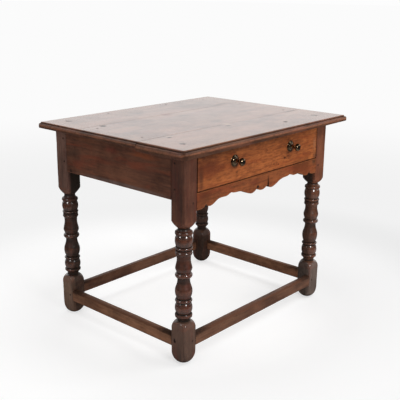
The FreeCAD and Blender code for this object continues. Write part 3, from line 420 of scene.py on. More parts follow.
def leg(name, seed, block_tone, shaft_tone, foot_tone, material):
    """One leg: a round turned shaft between blocks, worn outside, with painted shade inside."""
    low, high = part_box(name)
    axis_x = (low.x + high.x) / 2
    axis_y = (low.y + high.y) / 2
    inward_x = 1 if axis_x < CENTRE else -1
    inward_y = 1 if axis_y < (FRONT + BACK) / 2 else -1
    half = POST / 2 / MM
    angles = [math.radians(angle) for angle in leg_angles()]
    rings = []
    grain = []
    rub = []
    dirt = []
    zone = []
    polish = []
    for radius, height, grime, shine in leg_outline(name):
        ring = []
        in_block = height < LOWER_BLOCK_TOP or height > UPPER_BLOCK_BOTTOM
        wear = smooth_step(0.3 * FOOT_HEIGHT, FOOT_HEIGHT, height) if in_block else 0.0
        upper = height >= UPPER_BLOCK_BOTTOM - UPPER_SHOULDER
        lower = height <= LOWER_BLOCK_TOP + LOWER_SHOULDER
        for angle in angles:
            # The block's flats against the round, and which way this side looks
            flat = half / max(abs(math.cos(angle)), abs(math.sin(angle)))
            inward = inward_x * math.cos(angle) + inward_y * math.sin(angle)
            exposed = 0.35 + 0.65 * smooth_step(0.5, 1.3, -inward)
            inside = smooth_step(-0.1, 0.5, inward / (abs(math.cos(angle)) + abs(math.sin(angle))))
            # Corners of the blocks are worn and knocked, most on the outside
            place = (math.cos(angle) * 0.03, math.sin(angle) * 0.03, height * MM)
            knock = max(0.0, ripple(place, 38, seed + 3) - 0.15)
            limit = radius - wear * exposed * (0.5 + 0.6 * ripple(place, 14, seed) + 1.6 * knock)
            mix = 0.5 + 0.5 * math.tanh((flat - limit) / CORNER_BLEND)
            reach = limit * mix + flat * (1 - mix) - 0.35 * CORNER_BLEND * (1 - abs(2 * mix - 1))
            reach = min(reach, limit + 0.05, flat)
            reach -= HAND_WAVE * (0.5 + 0.5 * ripple(place, 30, seed))
            ring.append((axis_x + reach * MM * math.cos(angle),
                         axis_y + reach * MM * math.sin(angle), height * MM))
            # Rubbed on corners and crowns, darker with grime and painted shade in the quirks and
            # hollows, with painted shade on the sides that face into the table, polished by hands
            corner = smooth_step(1.8, 0.0, flat - limit) if upper and flat > half * 1.2 else 0.0
            crown = 0.0 if in_block else smooth_step(25.6, 27.4, radius)
            hollow = 0.0 if in_block or upper else smooth_step(24.2, 19.0, radius)
            rub.append(max(0.5 * corner * exposed, 0.7 * crown))
            dirt.append(max(grime, 0.75 * hollow, (0.95 if upper else 0.62) * inside))
            zone.append(block_tone if upper else (foot_tone if lower else shaft_tone))
            shoulder = smooth_step(LOWER_BLOCK_TOP, LOWER_BLOCK_TOP + 6, height) if lower else 0.0
            turned_shine = (0.25 + 0.75 * shine) * (1.0 - 0.5 * max(grime, hollow))
            turned_shine *= 1.0 - 0.85 * inside
            polish.append(0.06 if upper else (0.4 * shoulder if lower else turned_shine))
            grain.append(Vector((height * MM, ring[-1][1] - axis_y, ring[-1][0] - axis_x))
                         + board_offset(seed))
        rings.append(ring)
    points, faces = loft(rings)
    mesh = mesh_from(name + "_turned", points, faces, grain, rub=rub, dirt=dirt, zone=zone,
                     polish=polish)
    for head, way in peg_heads("stretcher_pegs"):
        sunk = (low.x if way.x < 0 else high.x) - head.x
        if way.x and low.y < head.y < high.y and abs(head.x - axis_x) < POST and abs(sunk) > 1 * MM:
            mesh = with_hole(mesh, head, way)
    return finish_piece(name + "_turned", mesh, "table", [name], material, sharp=50)


# ------------------------------------------------------------------ top boards
# Distance in from the nose of the edge and drop below the surface, in millimetres
UPPER_EDGE = ((0.0, 13.2), (0.12, 11.8), (0.5, 10.1), (1.1, 8.6), (2.0, 7.3), (3.2, 6.3),
              (4.6, 5.6), (6.0, 5.3), (7.0, 5.35), (7.6, 5.4), (8.0, 5.1), (8.3, 4.3), (9.0, 2.2),
              (9.7, 1.25), (10.8, 0.6), (12.4, 0.2), (14.5, 0.0))
LOWER_EDGE = ((0.0, 13.2), (0.12, 14.9), (0.35, 16.8), (0.8, 18.6), (1.5, 19.9), (2.5, 20.5))
JOINT_EDGE = ((0.0, 0.7), (0.35, 0.28), (0.9, 0.08), (2.0, 0.0))
# How far the corners of the top are worn round, along its length and across it, in millimetres
WORN_CORNERS = {(1, 1): (22, 34), (-1, 1): (9, 9), (1, -1): (15, 15), (-1, -1): (9, 9)}
TOP_STEP = 9 * MM                # between the grid lines of a top board
MOULDING = 9.0                   # the width of the moulding, in millimetres
FRONT_STRIP = 40.0               # and of the strip whose nose is lower
NO_EDGE = 1e3                    # the distance to an edge that a board doesn't have
RELIEF = 1.0 * MM                # the thicker front board is planed down round the frame
FRONT_BOARD_RIGHT = 21.0         # and tapers to its right end
FRONT_NOSE_RATIO = 1.12          # its front nose is lower than on the other boards


def drop_at(table, distance):
    """The height lost at a distance in from an edge."""
    for (near, drop_near), (far, drop_far) in zip(table, table[1:]):
        if distance <= far:
            return drop_near + (drop_far - drop_near) * max(0.0, distance - near) / (far - near)
    return table[-1][1]


def edge_lines(low, high, moulded_low, moulded_high, steps_at):
    """Grid lines across a board: an edge's own lines at both sides, even steps between.

    steps_at is where its underside has a sharp step.
    """
    moulded = sorted({distance for distance, _ in UPPER_EDGE + LOWER_EDGE})
    joint = [distance for distance, _ in JOINT_EDGE]
    first = [low + distance * MM for distance in (moulded if moulded_low else joint)]
    last = [high - distance * MM for distance in reversed(moulded if moulded_high else joint)]
    start = first[-1] + 5 * MM
    stop = last[0] - 5 * MM
    count = round((stop - start) / TOP_STEP)
    even = [start + (stop - start) * index / count for index in range(count + 1)]
    even = [line for line in even if all(abs(line - place) > 1 * MM for place in steps_at)]
    sharp = [place + side * 0.03 * MM for place in steps_at for side in (-1, 1)]
    return first + sorted(even + sharp) + last


def worn_corner(x, y, corners):
    """Moves a point of a square plan onto one whose outer corners are worn round."""
    for corner_x, corner_y, side_x, side_y in corners:
        along, across = WORN_CORNERS[side_x, side_y]
        in_x = 1 - (x - corner_x) * side_x / (along * MM)
        in_y = 1 - (y - corner_y) * side_y / (across * MM)
        if in_x > 0 and in_y > 0:
            round_x = in_x * math.sqrt(1 - in_y**2 / 2)
            round_y = in_y * math.sqrt(1 - in_x**2 / 2)
            return (corner_x + side_x * (1 - round_x) * along * MM,
                    corner_y + side_y * (1 - round_y) * across * MM)
    return x, y


def top_board(name, seed, moulded_front, moulded_back):
    """A board of the top, moulded on its outer edges, slightly dished and knocked."""
    low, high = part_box(name)
    middle = (low + high) / 2
    thick = (high.z - low.z) / MM
    plain = BOARD_THICK / MM

    def thick_at(x):
        if thick < plain + 1:
            return plain
        return thick - (thick - FRONT_BOARD_RIGHT) * (x - low.x) / (high.x - low.x)

    frame_left, frame_right, frame_front = LEFT - RELIEF, RIGHT + RELIEF, FRONT - RELIEF
    steps_at = (frame_front,) if moulded_front else ()
    xs = edge_lines(low.x, high.x, True, True, (frame_left, frame_right))
    ys = edge_lines(low.y, high.y, moulded_front, moulded_back, steps_at)
    ends = ((low.x, 1), (high.x, -1))
    sides = ((low.y, 1, moulded_front), (high.y, -1, moulded_back))
    corners = [(x, y, side_x, side_y) for x, side_x in ends
               for y, side_y, moulded in sides if moulded]
    points = []
    grain = []
    rub = []
    dirt = []
    polish = []
    zone = []

    def add(x, y, drop, moulded, rubbed, grime, shine):
        x, y = worn_corner(x, y, corners)
        shy = 0.0009 * (0.5 + 0.5 * ripple((x, y, 0), 9, seed)) * smooth_step(12, 8, moulded)
        points.append((x * (1 - shy), y * (1 - shy), TOP - drop * MM))
        grain.append(Vector((x, y, -drop * MM)) + board_offset(seed))
        rub.append(rubbed)
        dirt.append(grime)
        polish.append(shine)
        zone.append(smooth_step(13, 9, moulded))
        return len(points) - 1

    upper = []
    under = []
    for x in xs:
        upper_line = []
        under_line = []
        for y in ys:
            front = (y - low.y) / MM
            back = (high.y - y) / MM
            beside = min((x - low.x) / MM, (high.x - x) / MM)
            moulded = min(beside, front if moulded_front else NO_EDGE,
                          back if moulded_back else NO_EDGE)
            joint = min(NO_EDGE if moulded_front else front, NO_EDGE if moulded_back else back)
            # How far it drops: by its moulding or joint, the knocks on its edge and its cupping
            here = (x, y, 0)
            tall = thick_at(x) / plain
            if moulded_front and front < FRONT_STRIP:
                tall += (FRONT_NOSE_RATIO - tall) * smooth_step(-6, 6, beside - front)
            drop = tall * drop_at(UPPER_EDGE, moulded)
            if moulded > MOULDING:
                drop = max(drop, drop_at(JOINT_EDGE, joint))
            field = smooth_step(MOULDING, 20, moulded)
            drop += 1.2 * max(0.0, ripple(here, 30, seed) - 0.25) * smooth_step(14, 8, moulded)
            cupped = ((y - middle.y) / (high.y - low.y) * 2) ** 2
            drop += field * (0.3 * cupped + 0.3 * (0.5 + 0.5 * ripple(here, 5, seed)))
            # Rubbed on its arris, rubbed and lightened by a painted highlight along its nose,
            # darker with dirt and painted shade in its quirk, dirty in its seam, and polished by
            # hands
            arris = smooth_step(13, 10, moulded) * smooth_step(8, 9.5, moulded)
            rubbed_nose = 0.8 * smooth_step(2.4, 0.6, moulded)
            quirk = smooth_step(5.4, 7.2, moulded) * smooth_step(9.4, 8.4, moulded)
            seam = 0.75 * smooth_step(1.6, 0, joint)
            shine = max(smooth_step(10, 15, moulded), 0.6 * smooth_step(3.2, 1.2, moulded))
            upper_line.append(add(x, y, drop, moulded, max(0.7 * arris, rubbed_nose),
                                  max(0.8 * quirk, seam), shine))
            if moulded < 1e-6:
                under_line.append(upper_line[-1])
            else:
                over_frame = frame_left < x < frame_right and y > frame_front
                nose, bottom = LOWER_EDGE[0][1], LOWER_EDGE[-1][1]
                nose_drop = tall * nose
                share = (drop_at(LOWER_EDGE, moulded) - nose) / (bottom - nose)
                under_drop = plain if over_frame else nose_drop + share * (thick_at(x) - nose_drop)
                under_line.append(add(x, y, under_drop, moulded, 0.0, 0.35, 0.0))
        upper.append(upper_line)
        under.append(under_line)
    faces = []
    for i in range(len(xs) - 1):
        for j in range(len(ys) - 1):
            faces.append((upper[i][j], upper[i + 1][j], upper[i + 1][j + 1], upper[i][j + 1]))
            faces.append((under[i][j], under[i][j + 1], under[i + 1][j + 1], under[i + 1][j]))
    for column, moulded, turned in ((0, moulded_front, False), (-1, moulded_back, True)):
        if moulded:
            continue
        for i in range(len(xs) - 1):
            strip = [upper[i][column], under[i][column], under[i + 1][column], upper[i + 1][column]]
            strip = list(dict.fromkeys(strip))
            faces.append(tuple(reversed(strip)) if turned else tuple(strip))
    return mesh_from(name + "_worn", points, faces, grain, rub=rub, dirt=dirt, polish=polish,
                     zone=zone)


# ------------------------------------------------------------------ shaped front rail
# The ogees of its lower edge, as distance from the tip of the lobe beside them and rise
INNER_OGEE = ((0.0, 0.0), (19.0, 6.0), (39.0, 15.0), (59.0, 19.5), (79.0, 20.5), (91.0, 22.0),
              (98.0, 24.5))
OUTER_OGEE = ((98.0, 24.5), (105.0, 23.5), (115.0, 20.0), (124.0, 17.5), (139.0, 18.0),
              (154.0, 18.0), (169.0, 14.5), (184.0, 7.0), (195.0, 3.0), (201.0, 2.2))
LOBE_TIP = 61.0
SPLIT_RUN = 34.0                 # an old split in its lower edge, right of the middle
SPLIT_HALF = 3.2
SPLIT_RISE = 38.0


def ogee(points, count):
    """Points on a smooth ogee, as (distance from the middle of the rail, rise)."""
    start = points[0][0]
    length = points[-1][0] - start
    shares = [((run - start) / length, rise) for run, rise in points]
    return [(LOBE_TIP + start + share * length, rise)
            for share, rise in smooth_points(shares, count)]


def rail_edge():
    """The lower edge of the front rail, as (distance from its middle, rise) in millimetres."""
    half = (INNER_RIGHT - INNER_LEFT) / 2 / MM
    edge = arc_points((0.0, 1.0), (28.0, 11.5), 2.8, 10)
    edge += arc_points((28.0, 11.5), (LOBE_TIP, 0.0), 4.3, 14)
    edge += ogee(INNER_OGEE, 26)[1:]
    edge += ogee(OUTER_OGEE, 34)[1:]
    edge += arc_points((LOBE_TIP + 201.0, 2.2), (half - 42.5, 15.0), 3.9, 10)[1:]
    edge += arc_points((half - 42.5, 15.0), (half - 22.5, 1.0), 3.1, 10)[1:]
    edge += [(half - 12, 1.0), (half - 4, 1.0), (half, 1.0)]
    return edge


def rise_at(edge, run):
    """The rise of the lower edge at a distance from its middle."""
    for (near, rise_near), (far, rise_far) in zip(edge, edge[1:]):
        if abs(run) <= far:
            return rise_near + (rise_far - rise_near) * (abs(run) - near) / (far - near)
    return edge[-1][1]


def front_rail_mesh(seed):
    """The front rail with its shaped lower edge and the old split in it."""
    low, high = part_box("front_rail")
    low.x, high.x = INNER_LEFT, INNER_RIGHT
    edge = rail_edge()
    runs = [(-run, rise) for run, rise in reversed(edge[1:])] + edge
    runs = [(run, rise) for run, rise in runs if abs(run - SPLIT_RUN) > SPLIT_HALF + 0.3]
    runs += [(SPLIT_RUN + side * SPLIT_HALF, rise_at(edge, SPLIT_RUN + side * SPLIT_HALF))
             for side in (-1, 1)]
    runs += [(SPLIT_RUN - 0.35, SPLIT_RISE), (SPLIT_RUN + 0.35, SPLIT_RISE)]
    heights = {CENTRE + run * MM: low.z + (rise + 0.6) * MM for run, rise in sorted(runs)}
    mesh = timber("front_rail_worn", "x", low, high, 1.3 * MM, seed, stations=sorted(heights),
                  lower=heights.get, unevenness=0.3 * MM, top_arris=0.5 * MM)
    # Round the split the wood is darkened fully, with dirt and painted shade.
    split = CENTRE + SPLIT_RUN * MM
    dirt = mesh.attributes["dirt"].data
    for vert in mesh.vertices:
        beside = abs(vert.co.x - split) < 1.2 * SPLIT_HALF * MM
        if beside and vert.co.z < low.z + (SPLIT_RISE + 1.5) * MM:
            dirt[vert.index].value = 1.0
    return mesh


# ------------------------------------------------------------------ drawer front
def slice_up(shape, place, normal):
    """Adds a line of edges where a plane crosses a shape."""
    bmesh.ops.bisect_plane(shape, geom=shape.verts[:] + shape.edges[:] + shape.faces[:], dist=1e-6,
                           plane_co=place, plane_no=normal)


def drawer_face(name, seed):
    """The drawer front with rounded arrises and an uneven, hand planed face."""
    low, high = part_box("drawer_front")
    shape = bmesh.new()
    shape.from_mesh(frame["nodes"]["drawer_front"].data)
    bmesh.ops.remove_doubles(shape, verts=shape.verts, dist=0.02 * MM)
    bmesh.ops.dissolve_limit(shape, angle_limit=math.radians(1), verts=shape.verts,
                             edges=shape.edges)

    def inset(point):
        return min(point.x - low.x, high.x - point.x, point.z - low.z, high.z - point.z) / MM

    rim = [edge for edge in shape.edges
           if all(vert.co.y < low.y + 0.1 * MM and inset(vert.co) < 0.1 for vert in edge.verts)]
    bmesh.ops.bevel(shape, geom=rim, offset=0.8 * MM, segments=4, profile=0.5, affect="EDGES")
    for axis, normal in ((0, Vector((1, 0, 0))), (2, Vector((0, 0, 1)))):
        for place in spread(low[axis], high[axis], 12 * MM, ends=(1.4 * MM, 3 * MM, 6 * MM)):
            point = low.copy()
            point[axis] = place
            slice_up(shape, point, normal)
    grain = []
    rub = []
    dirt = []
    for vert in shape.verts:
        edge = inset(vert.co)
        on_face = vert.co.y < low.y + 1.4 * MM
        if vert.co.y < low.y + 0.01 * MM:
            vert.co.y += 0.35 * MM * (0.5 + 0.5 * ripple(vert.co, 11, seed))
        grain.append(Vector((vert.co.x, vert.co.z, vert.co.y)) + board_offset(seed))
        rub.append(0.8 * smooth_step(1.3, 0.3, edge) if on_face else 0.0)
        # The upper part of the face takes a painted shadow of the top's overhang, strongest at its
        # left end.
        handled = 0.7 - 0.35 * smooth_step(low.x, high.x, vert.co.x)
        under_top = handled * smooth_step(44, 12, (high.z - vert.co.z) / MM)
        dirt.append(max(under_top, 0.75 * smooth_step(5, 0.8, edge)) if on_face else 0.8)
    bmesh.ops.recalc_face_normals(shape, faces=shape.faces)
    mesh = bpy.data.meshes.new(name)
    shape.to_mesh(mesh)
    shape.free()
    write_marks(mesh, grain, rub=rub, dirt=dirt)
    return mesh


# ------------------------------------------------------------------ knobs and their plates
KNOB_SIDES = 56
ROSE = ((19.0, 0.0), (19.0, 0.75), (18.75, 1.15), (18.2, 1.3), (17.2, 1.42), (15.8, 1.6),
        (14.4, 1.95), (13.2, 2.6), (12.0, 3.4), (10.8, 4.15), (9.6, 4.75), (8.3, 5.2), (7.0, 5.45))
KNOB = ((3.0, -27.5), (3.0, 5.4), (7.0, 5.4), (7.0, 6.1), (6.5, 6.7), (5.8, 7.8), (5.1, 9.6),
        (4.75, 11.8), (4.7, 14.0), (4.9, 16.4), (5.3, 18.4), (5.9, 19.9), (6.5, 20.6), (6.6, 21.4),
        (6.3, 21.9), (7.6, 22.2), (9.3, 23.0), (11.0, 24.5), (12.2, 26.4), (12.85, 28.5),
        (13.0, 30.2), (12.8, 32.0), (12.1, 33.9), (10.9, 35.5), (9.2, 36.7), (7.0, 37.5),
        (4.6, 37.9), (2.2, 38.0))


def turned_brass(name, outline, side, seed):
    """A round fitting on the drawer face, from its outline of (radius, distance out)."""
    low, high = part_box("knob_rose_" + side)
    centre_x = (low.x + high.x) / 2
    centre_z = (low.z + high.z) / 2
    face = high.y
    rings = []
    dirt = []
    for index, (radius, out) in enumerate(outline):
        nearby = outline[max(0, index - 2):index + 3]
        hollow = sum(near for near, _ in nearby) / len(nearby) - radius
        ring = []
        for turn in range(KNOB_SIDES):
            angle = 2 * math.pi * turn / KNOB_SIDES
            place = (math.cos(angle), math.sin(angle), out * 0.05)
            worn = 1 - 0.006 * (0.5 + 0.5 * ripple(place, 1.3, seed))
            ring.append((centre_x + radius * MM * worn * math.cos(angle), face - out * MM,
                         centre_z + radius * MM * worn * math.sin(angle)))
            dirt.append(smooth_step(0.1, 0.9, hollow))
        rings.append(ring)
    points, faces = loft(rings)
    grain = [Vector(point) for point in points]
    return mesh_from(name, points, faces, grain, dirt=dirt)


# ------------------------------------------------------------------ node building blocks
def put(tree, kind, inputs=(), **settings):
    """Adds a node. inputs gives its sockets values, or the outputs that feed them."""
    made = tree.nodes.new(kind)
    for name, value in settings.items():
        setattr(made, name, value)
    for socket, value in dict(inputs).items():
        if isinstance(value, bpy.types.NodeSocket):
            tree.links.new(value, made.inputs[socket])
        else:
            made.inputs[socket].default_value = value
    return made


def calculate(tree, operation, *values, **settings):
    """The outcome of a sum with one to three numbers."""
    made = put(tree, "ShaderNodeMath", enumerate(values), operation=operation, **settings)
    return made.outputs[0]


def calculate_vector(tree, operation, *values):
    """The outcome of a sum with vectors: another vector, or a number for a length or a product."""
    made = put(tree, "ShaderNodeVectorMath", enumerate(values), operation=operation)
    return made.outputs["Value" if operation in ("LENGTH", "DOT_PRODUCT") else "Vector"]


# ------------------------------------------------------------------ pegs
def separate_solids(node):
    """The lowest and highest corner of each loose solid in a node."""
    shape = bmesh.new()
    shape.from_mesh(frame["nodes"][node].data)
    bmesh.ops.remove_doubles(shape, verts=shape.verts, dist=0.01 * MM)
    left = set(shape.verts)
    boxes = []
    while left:
        found = []
        queue = [left.pop()]
        while queue:
            vert = queue.pop()
            found.append(vert.co.copy())
            for edge in vert.link_edges:
                other = edge.other_vert(vert)
                if other in left:
                    left.remove(other)
                    queue.append(other)
        boxes.append((Vector(map(min, zip(*found))), Vector(map(max, zip(*found)))))
    shape.free()
    return sorted(boxes, key=lambda box: tuple(box[0]))


def peg_heads(node):
    """Where each peg's head is, and the way it points out of the wood."""
    heads = []
    for low, high in separate_solids(node):
        axis = max(range(3), key=lambda index: high[index] - low[index])
        centre = (low + high) / 2
        side = 1 if centre[axis] > (CENTRE, (FRONT + BACK) / 2, 0)[axis] else -1
        head = centre.copy()
        head[axis] = high[axis] if side > 0 else low[axis]
        way = Vector((0, 0, 0))
        way[axis] = side
        heads.append((head, way))
    return heads


HOLE_SIDES = 20
HOLE_RADIUS = 4.3                # in millimetres
HOLE_DIRT = 5.2                  # and how far from its middle its dirt and painted shade reach


def with_hole(mesh, head, way):
    """A copy of a mesh with the open end of a peg hole down to the head of a sunk peg."""
    ring = [math.radians(360 * turn / HOLE_SIDES) for turn in range(HOLE_SIDES)]
    across = Vector((0, 1, 0)) if way.x else Vector((1, 0, 0))
    rims = [(across * math.cos(angle) + Vector((0, 0, 1)) * math.sin(angle)) * HOLE_RADIUS * MM
            for angle in ring]
    rows = [[head + way * out * MM + rim for rim in rims] for out in (-0.2, 8.0)]
    points, faces = loft(rows)
    cutter_mesh = bpy.data.meshes.new("peg_hole")
    cutter_mesh.from_pydata([tuple(point) for point in points], [], faces)
    shape = bmesh.new()
    shape.from_mesh(cutter_mesh)
    bmesh.ops.recalc_face_normals(shape, faces=shape.faces)
    shape.to_mesh(cutter_mesh)
    shape.free()
    cutter = bpy.data.objects.new("peg_hole", cutter_mesh)
    block = bpy.data.objects.new("drilled", mesh)
    for holder in (cutter, block):
        bpy.context.scene.collection.objects.link(holder)
    modifier = block.modifiers.new("hole", "BOOLEAN")
    modifier.object = cutter
    modifier.operation = "DIFFERENCE"
    modifier.solver = "EXACT"
    depsgraph = bpy.context.evaluated_depsgraph_get()
    drilled = bpy.data.meshes.new_from_object(block.evaluated_get(depsgraph), depsgraph=depsgraph)
    for holder in (cutter, block):
        bpy.data.objects.remove(holder)
    tree = kdtree.KDTree(len(mesh.vertices))
    for vert in mesh.vertices:
        tree.insert(vert.co, vert.index)
    tree.balance()
    nearest = [tree.find(vert.co)[1] for vert in drilled.vertices]
    for field in mesh.attributes:
        if field.name in FIELDS:
            old = drilled.attributes.get(field.name)
            if old:
                drilled.attributes.remove(old)
            kept = drilled.attributes.new(field.name, field.data_type, "POINT")
            for index, source in enumerate(nearest):
                if field.name == "grain":
                    kept.data[index].vector = field.data[source].vector
                else:
                    kept.data[index].value = field.data[source].value
    # Round a sunk peg's head the hole and its rim are darkened fully, with dirt and painted shade.
    for vert in drilled.vertices:
        if (vert.co - head).length < HOLE_DIRT * MM:
            drilled.attributes["dirt"].data[vert.index].value = 1.0
    return drilled


def peg_tree():
    """Cleft pegs with shaved, slightly irregular heads, one on each point."""
    tree = bpy.data.node_groups.new("Wooden pegs", "GeometryNodeTree")
    face = tree.interface
    face.new_socket("Heads", in_out="INPUT", socket_type="NodeSocketGeometry")
    for label, value in (("Radius", 4 * MM), ("Length", 28 * MM), ("Shaving", 0.6 * MM)):
        face.new_socket(label, in_out="INPUT", socket_type="NodeSocketFloat").default_value = value
    face.new_socket("Wood", in_out="INPUT", socket_type="NodeSocketMaterial")
    face.new_socket("Pegs", in_out="OUTPUT", socket_type="NodeSocketGeometry")
    given = put(tree, "NodeGroupInput")
    tip_radius = calculate(tree, "MULTIPLY", given.outputs["Radius"], 0.84)
    shank_length = calculate(tree, "SUBTRACT", given.outputs["Length"], given.outputs["Shaving"])
    down = calculate(tree, "MULTIPLY_ADD", shank_length, -0.5, 0.0)
    down = calculate(tree, "SUBTRACT", down, given.outputs["Shaving"])
    shank_place = put(tree, "ShaderNodeCombineXYZ", {2: down})
    head_down = calculate(tree, "MULTIPLY", given.outputs["Shaving"], -1.0)
    head_place = put(tree, "ShaderNodeCombineXYZ", {2: head_down})
    shank = put(tree, "GeometryNodeMeshCylinder",
                {"Vertices": 11, "Radius": given.outputs["Radius"], "Depth": shank_length})
    head = put(tree, "GeometryNodeMeshCone",
               {"Vertices": 11, "Radius Top": tip_radius, "Radius Bottom": given.outputs["Radius"],
                "Depth": given.outputs["Shaving"]})
    shank = put(tree, "GeometryNodeTransform",
                {0: shank.outputs[0], "Translation": shank_place.outputs[0]})
    head = put(tree, "GeometryNodeTransform",
               {0: head.outputs[0], "Translation": head_place.outputs[0]})
    peg = put(tree, "GeometryNodeJoinGeometry")
    tree.links.new(shank.outputs[0], peg.inputs[0])
    tree.links.new(head.outputs[0], peg.inputs[0])
    way = put(tree, "GeometryNodeInputNamedAttribute", {"Name": "way"}, data_type="FLOAT_VECTOR")
    aim = put(tree, "FunctionNodeAlignRotationToVector", {"Vector": way.outputs[0]}, axis="Z")
    turn = put(tree, "FunctionNodeRandomValue", {"Min": (0, 0, 0), "Max": (0, 0, 6.28), "Seed": 5},
               data_type="FLOAT_VECTOR")
    twist = put(tree, "FunctionNodeRotateRotation",
                {0: aim.outputs[0], 1: turn.outputs[0]}, rotation_space="LOCAL")
    size = put(tree, "FunctionNodeRandomValue",
               {"Min": (0.93, 0.93, 1.0), "Max": (1.0, 1.0, 1.0), "Seed": 8},
               data_type="FLOAT_VECTOR")
    spread_out = put(tree, "GeometryNodeInstanceOnPoints",
                     {"Points": given.outputs["Heads"], "Instance": peg.outputs[0],
                      "Rotation": twist.outputs[0], "Scale": size.outputs[0]})
    real = put(tree, "GeometryNodeRealizeInstances", {0: spread_out.outputs[0]})
    wooden = put(tree, "GeometryNodeSetMaterial",
                 {0: real.outputs[0], "Material": given.outputs["Wood"]})
    put(tree, "NodeGroupOutput", {0: wooden.outputs[0]})
    return tree


def pegs(name, node, tree, radius, length, wood, lift):
    """All the pegs of a node as one mesh."""
    heads = peg_heads(node)
    points = bpy.data.meshes.new(name)
    points.from_pydata([tuple(head + way * lift) for head, way in heads], [], [])
    field = points.attributes.new("way", "FLOAT_VECTOR", "POINT")
    field.data.foreach_set("vector", [value for _, way in heads for value in way])
    carrier = bpy.data.objects.new(name, points)
    bpy.context.scene.collection.objects.link(carrier)
    modifier = carrier.modifiers.new("pegs", "NODES")
    modifier.node_group = tree
    wanted = {"Radius": radius, "Length": length, "Wood": wood}
    for item in tree.interface.items_tree:
        if item.in_out == "INPUT" and item.name in wanted:
            modifier[item.identifier] = wanted[item.name]
    depsgraph = bpy.context.evaluated_depsgraph_get()
    mesh = bpy.data.meshes.new_from_object(carrier.evaluated_get(depsgraph), depsgraph=depsgraph)
    bpy.data.objects.remove(carrier)
    shape = bmesh.new()
    shape.from_mesh(mesh)
    bmesh.ops.remove_doubles(shape, verts=shape.verts, dist=0.02 * MM)
    inner = [item for item in shape.faces if all(len(edge.link_faces) > 2 for edge in item.edges)]
    bmesh.ops.delete(shape, geom=inner, context="FACES")
    bmesh.ops.recalc_face_normals(shape, faces=shape.faces)
    shape.to_mesh(mesh)
    shape.free()
    mesh.name = name
    return finish_piece(name, mesh, "table", [node], wood, sharp=30)


# ------------------------------------------------------------------ shader building blocks
def mix_colour(tree, share, first, second, blend="MIX"):
    """The first colour with a share of the second over it."""
    made = put(tree, "ShaderNodeMix", {0: share, 6: first, 7: second}, data_type="RGBA",
               blend_type=blend)
    return made.outputs[2]


def fade(tree, value, low, high, start=0.0, end=1.0):
    """Runs smoothly from start to end as value runs from low to high."""
    return put(tree, "ShaderNodeMapRange", {0: value, 1: low, 2: high, 3: start, 4: end},
               interpolation_type="SMOOTHSTEP").outputs[0]


def cloud(tree, vector, scale, stretch=(1, 1, 1), detail=3.0, rough=0.5, warp=0.0):
    """Noise from 0 to 1, stretched along the axes."""
    spread_vector = put(tree, "ShaderNodeMapping", {0: vector, 3: stretch}).outputs[0]
    return put(tree, "ShaderNodeTexNoise",
               {"Vector": spread_vector, "Scale": scale, "Detail": detail, "Roughness": rough,
                "Distortion": warp}).outputs[0]


def stored(tree, name, output="Fac"):
    """A field that the mesh holds for each point."""
    return put(tree, "ShaderNodeAttribute", attribute_name=name).outputs[output]


def shader_group(name, inputs, outputs):
    """A node group with named sockets, and its two ends."""
    tree = bpy.data.node_groups.new(name, "ShaderNodeTree")
    for label, kind, value in inputs:
        socket = tree.interface.new_socket(label, in_out="INPUT", socket_type="NodeSocket" + kind)
        socket.default_value = value
    for label, kind in outputs:
        tree.interface.new_socket(label, in_out="OUTPUT", socket_type="NodeSocket" + kind)
    return tree, put(tree, "NodeGroupInput").outputs


PORE_DARKNESS = 0.5              # how dark the open pores of the oak are


def oak_figure_group():
    """The figure of a sawn oak board: broad and fine streaks, red flushes, mottle and pores."""
    tree, given = shader_group(
        "Oak figure",
        (("Grain", "Vector", (0, 0, 0)), ("Pale", "Color", colour(160, 110, 70)),
         ("Deep", "Color", colour(80, 45, 30)), ("Flush", "Color", colour(130, 60, 35)),
         ("Flushed", "Float", 0.5), ("Mottle", "Float", 0.2), ("Contrast", "Float", 1.0)),
        (("Color", "Color"), ("Height", "Float")),
    )
    grain = given["Grain"]
    broad = cloud(tree, grain, 1.0, (2.4, 17, 13), detail=2.0, warp=0.6)
    streaks = cloud(tree, grain, 1.0, (8, 120, 90), detail=4.0, rough=0.62)
    fibres = cloud(tree, grain, 1.0, (28, 620, 620), detail=3.0, rough=0.6)
    mottle = cloud(tree, grain, 1.0, (42, 165, 165), detail=2.5, rough=0.6)
    stretched = put(tree, "ShaderNodeMapping", {0: grain, 3: (0.28, 1.0, 0.5)}).outputs[0]
    rings = put(tree, "ShaderNodeTexWave",
                {"Vector": stretched, "Scale": 26.0, "Distortion": 7.0, "Detail": 2.5,
                 "Detail Scale": 1.4, "Detail Roughness": 0.55}, bands_direction="Y",
                wave_profile="SAW").outputs[1]
    tone = 0.5
    for layer, weight in ((broad, 0.5), (streaks, 0.34), (rings, 0.05), (fibres, 0.14),
                          (mottle, given["Mottle"])):
        centred = calculate(tree, "SUBTRACT", layer, 0.5)
        tone = calculate(tree, "MULTIPLY_ADD", centred, weight, tone)
    centred = calculate(tree, "SUBTRACT", tone, 0.5)
    spread_tone = calculate(tree, "MULTIPLY_ADD", centred, given["Contrast"], 0.5)
    tone = fade(tree, spread_tone, 0.3, 0.7)
    base = mix_colour(tree, tone, given["Pale"], given["Deep"])
    patches = cloud(tree, grain, 1.0, (5, 27, 24), detail=3.5, rough=0.62, warp=0.5)
    flush = calculate(tree, "MULTIPLY", fade(tree, patches, 0.47, 0.66), given["Flushed"])
    base = mix_colour(tree, flush, base, given["Flush"])
    dashes = cloud(tree, grain, 1.0, (75, 1500, 1500), detail=1.5)
    clusters = cloud(tree, grain, 1.0, (9, 150, 150), detail=1.0)
    pores = calculate(tree, "MULTIPLY", fade(tree, dashes, 0.56, 0.66),
                      fade(tree, clusters, 0.38, 0.6))
    pore_share = calculate(tree, "MULTIPLY", pores, PORE_DARKNESS)
    base = mix_colour(tree, pore_share, base, colour(20, 11, 8))
    height = calculate(tree, "MULTIPLY_ADD", pores, -0.7, fibres)
    put(tree, "NodeGroupOutput", {0: base, 1: height})
    return tree


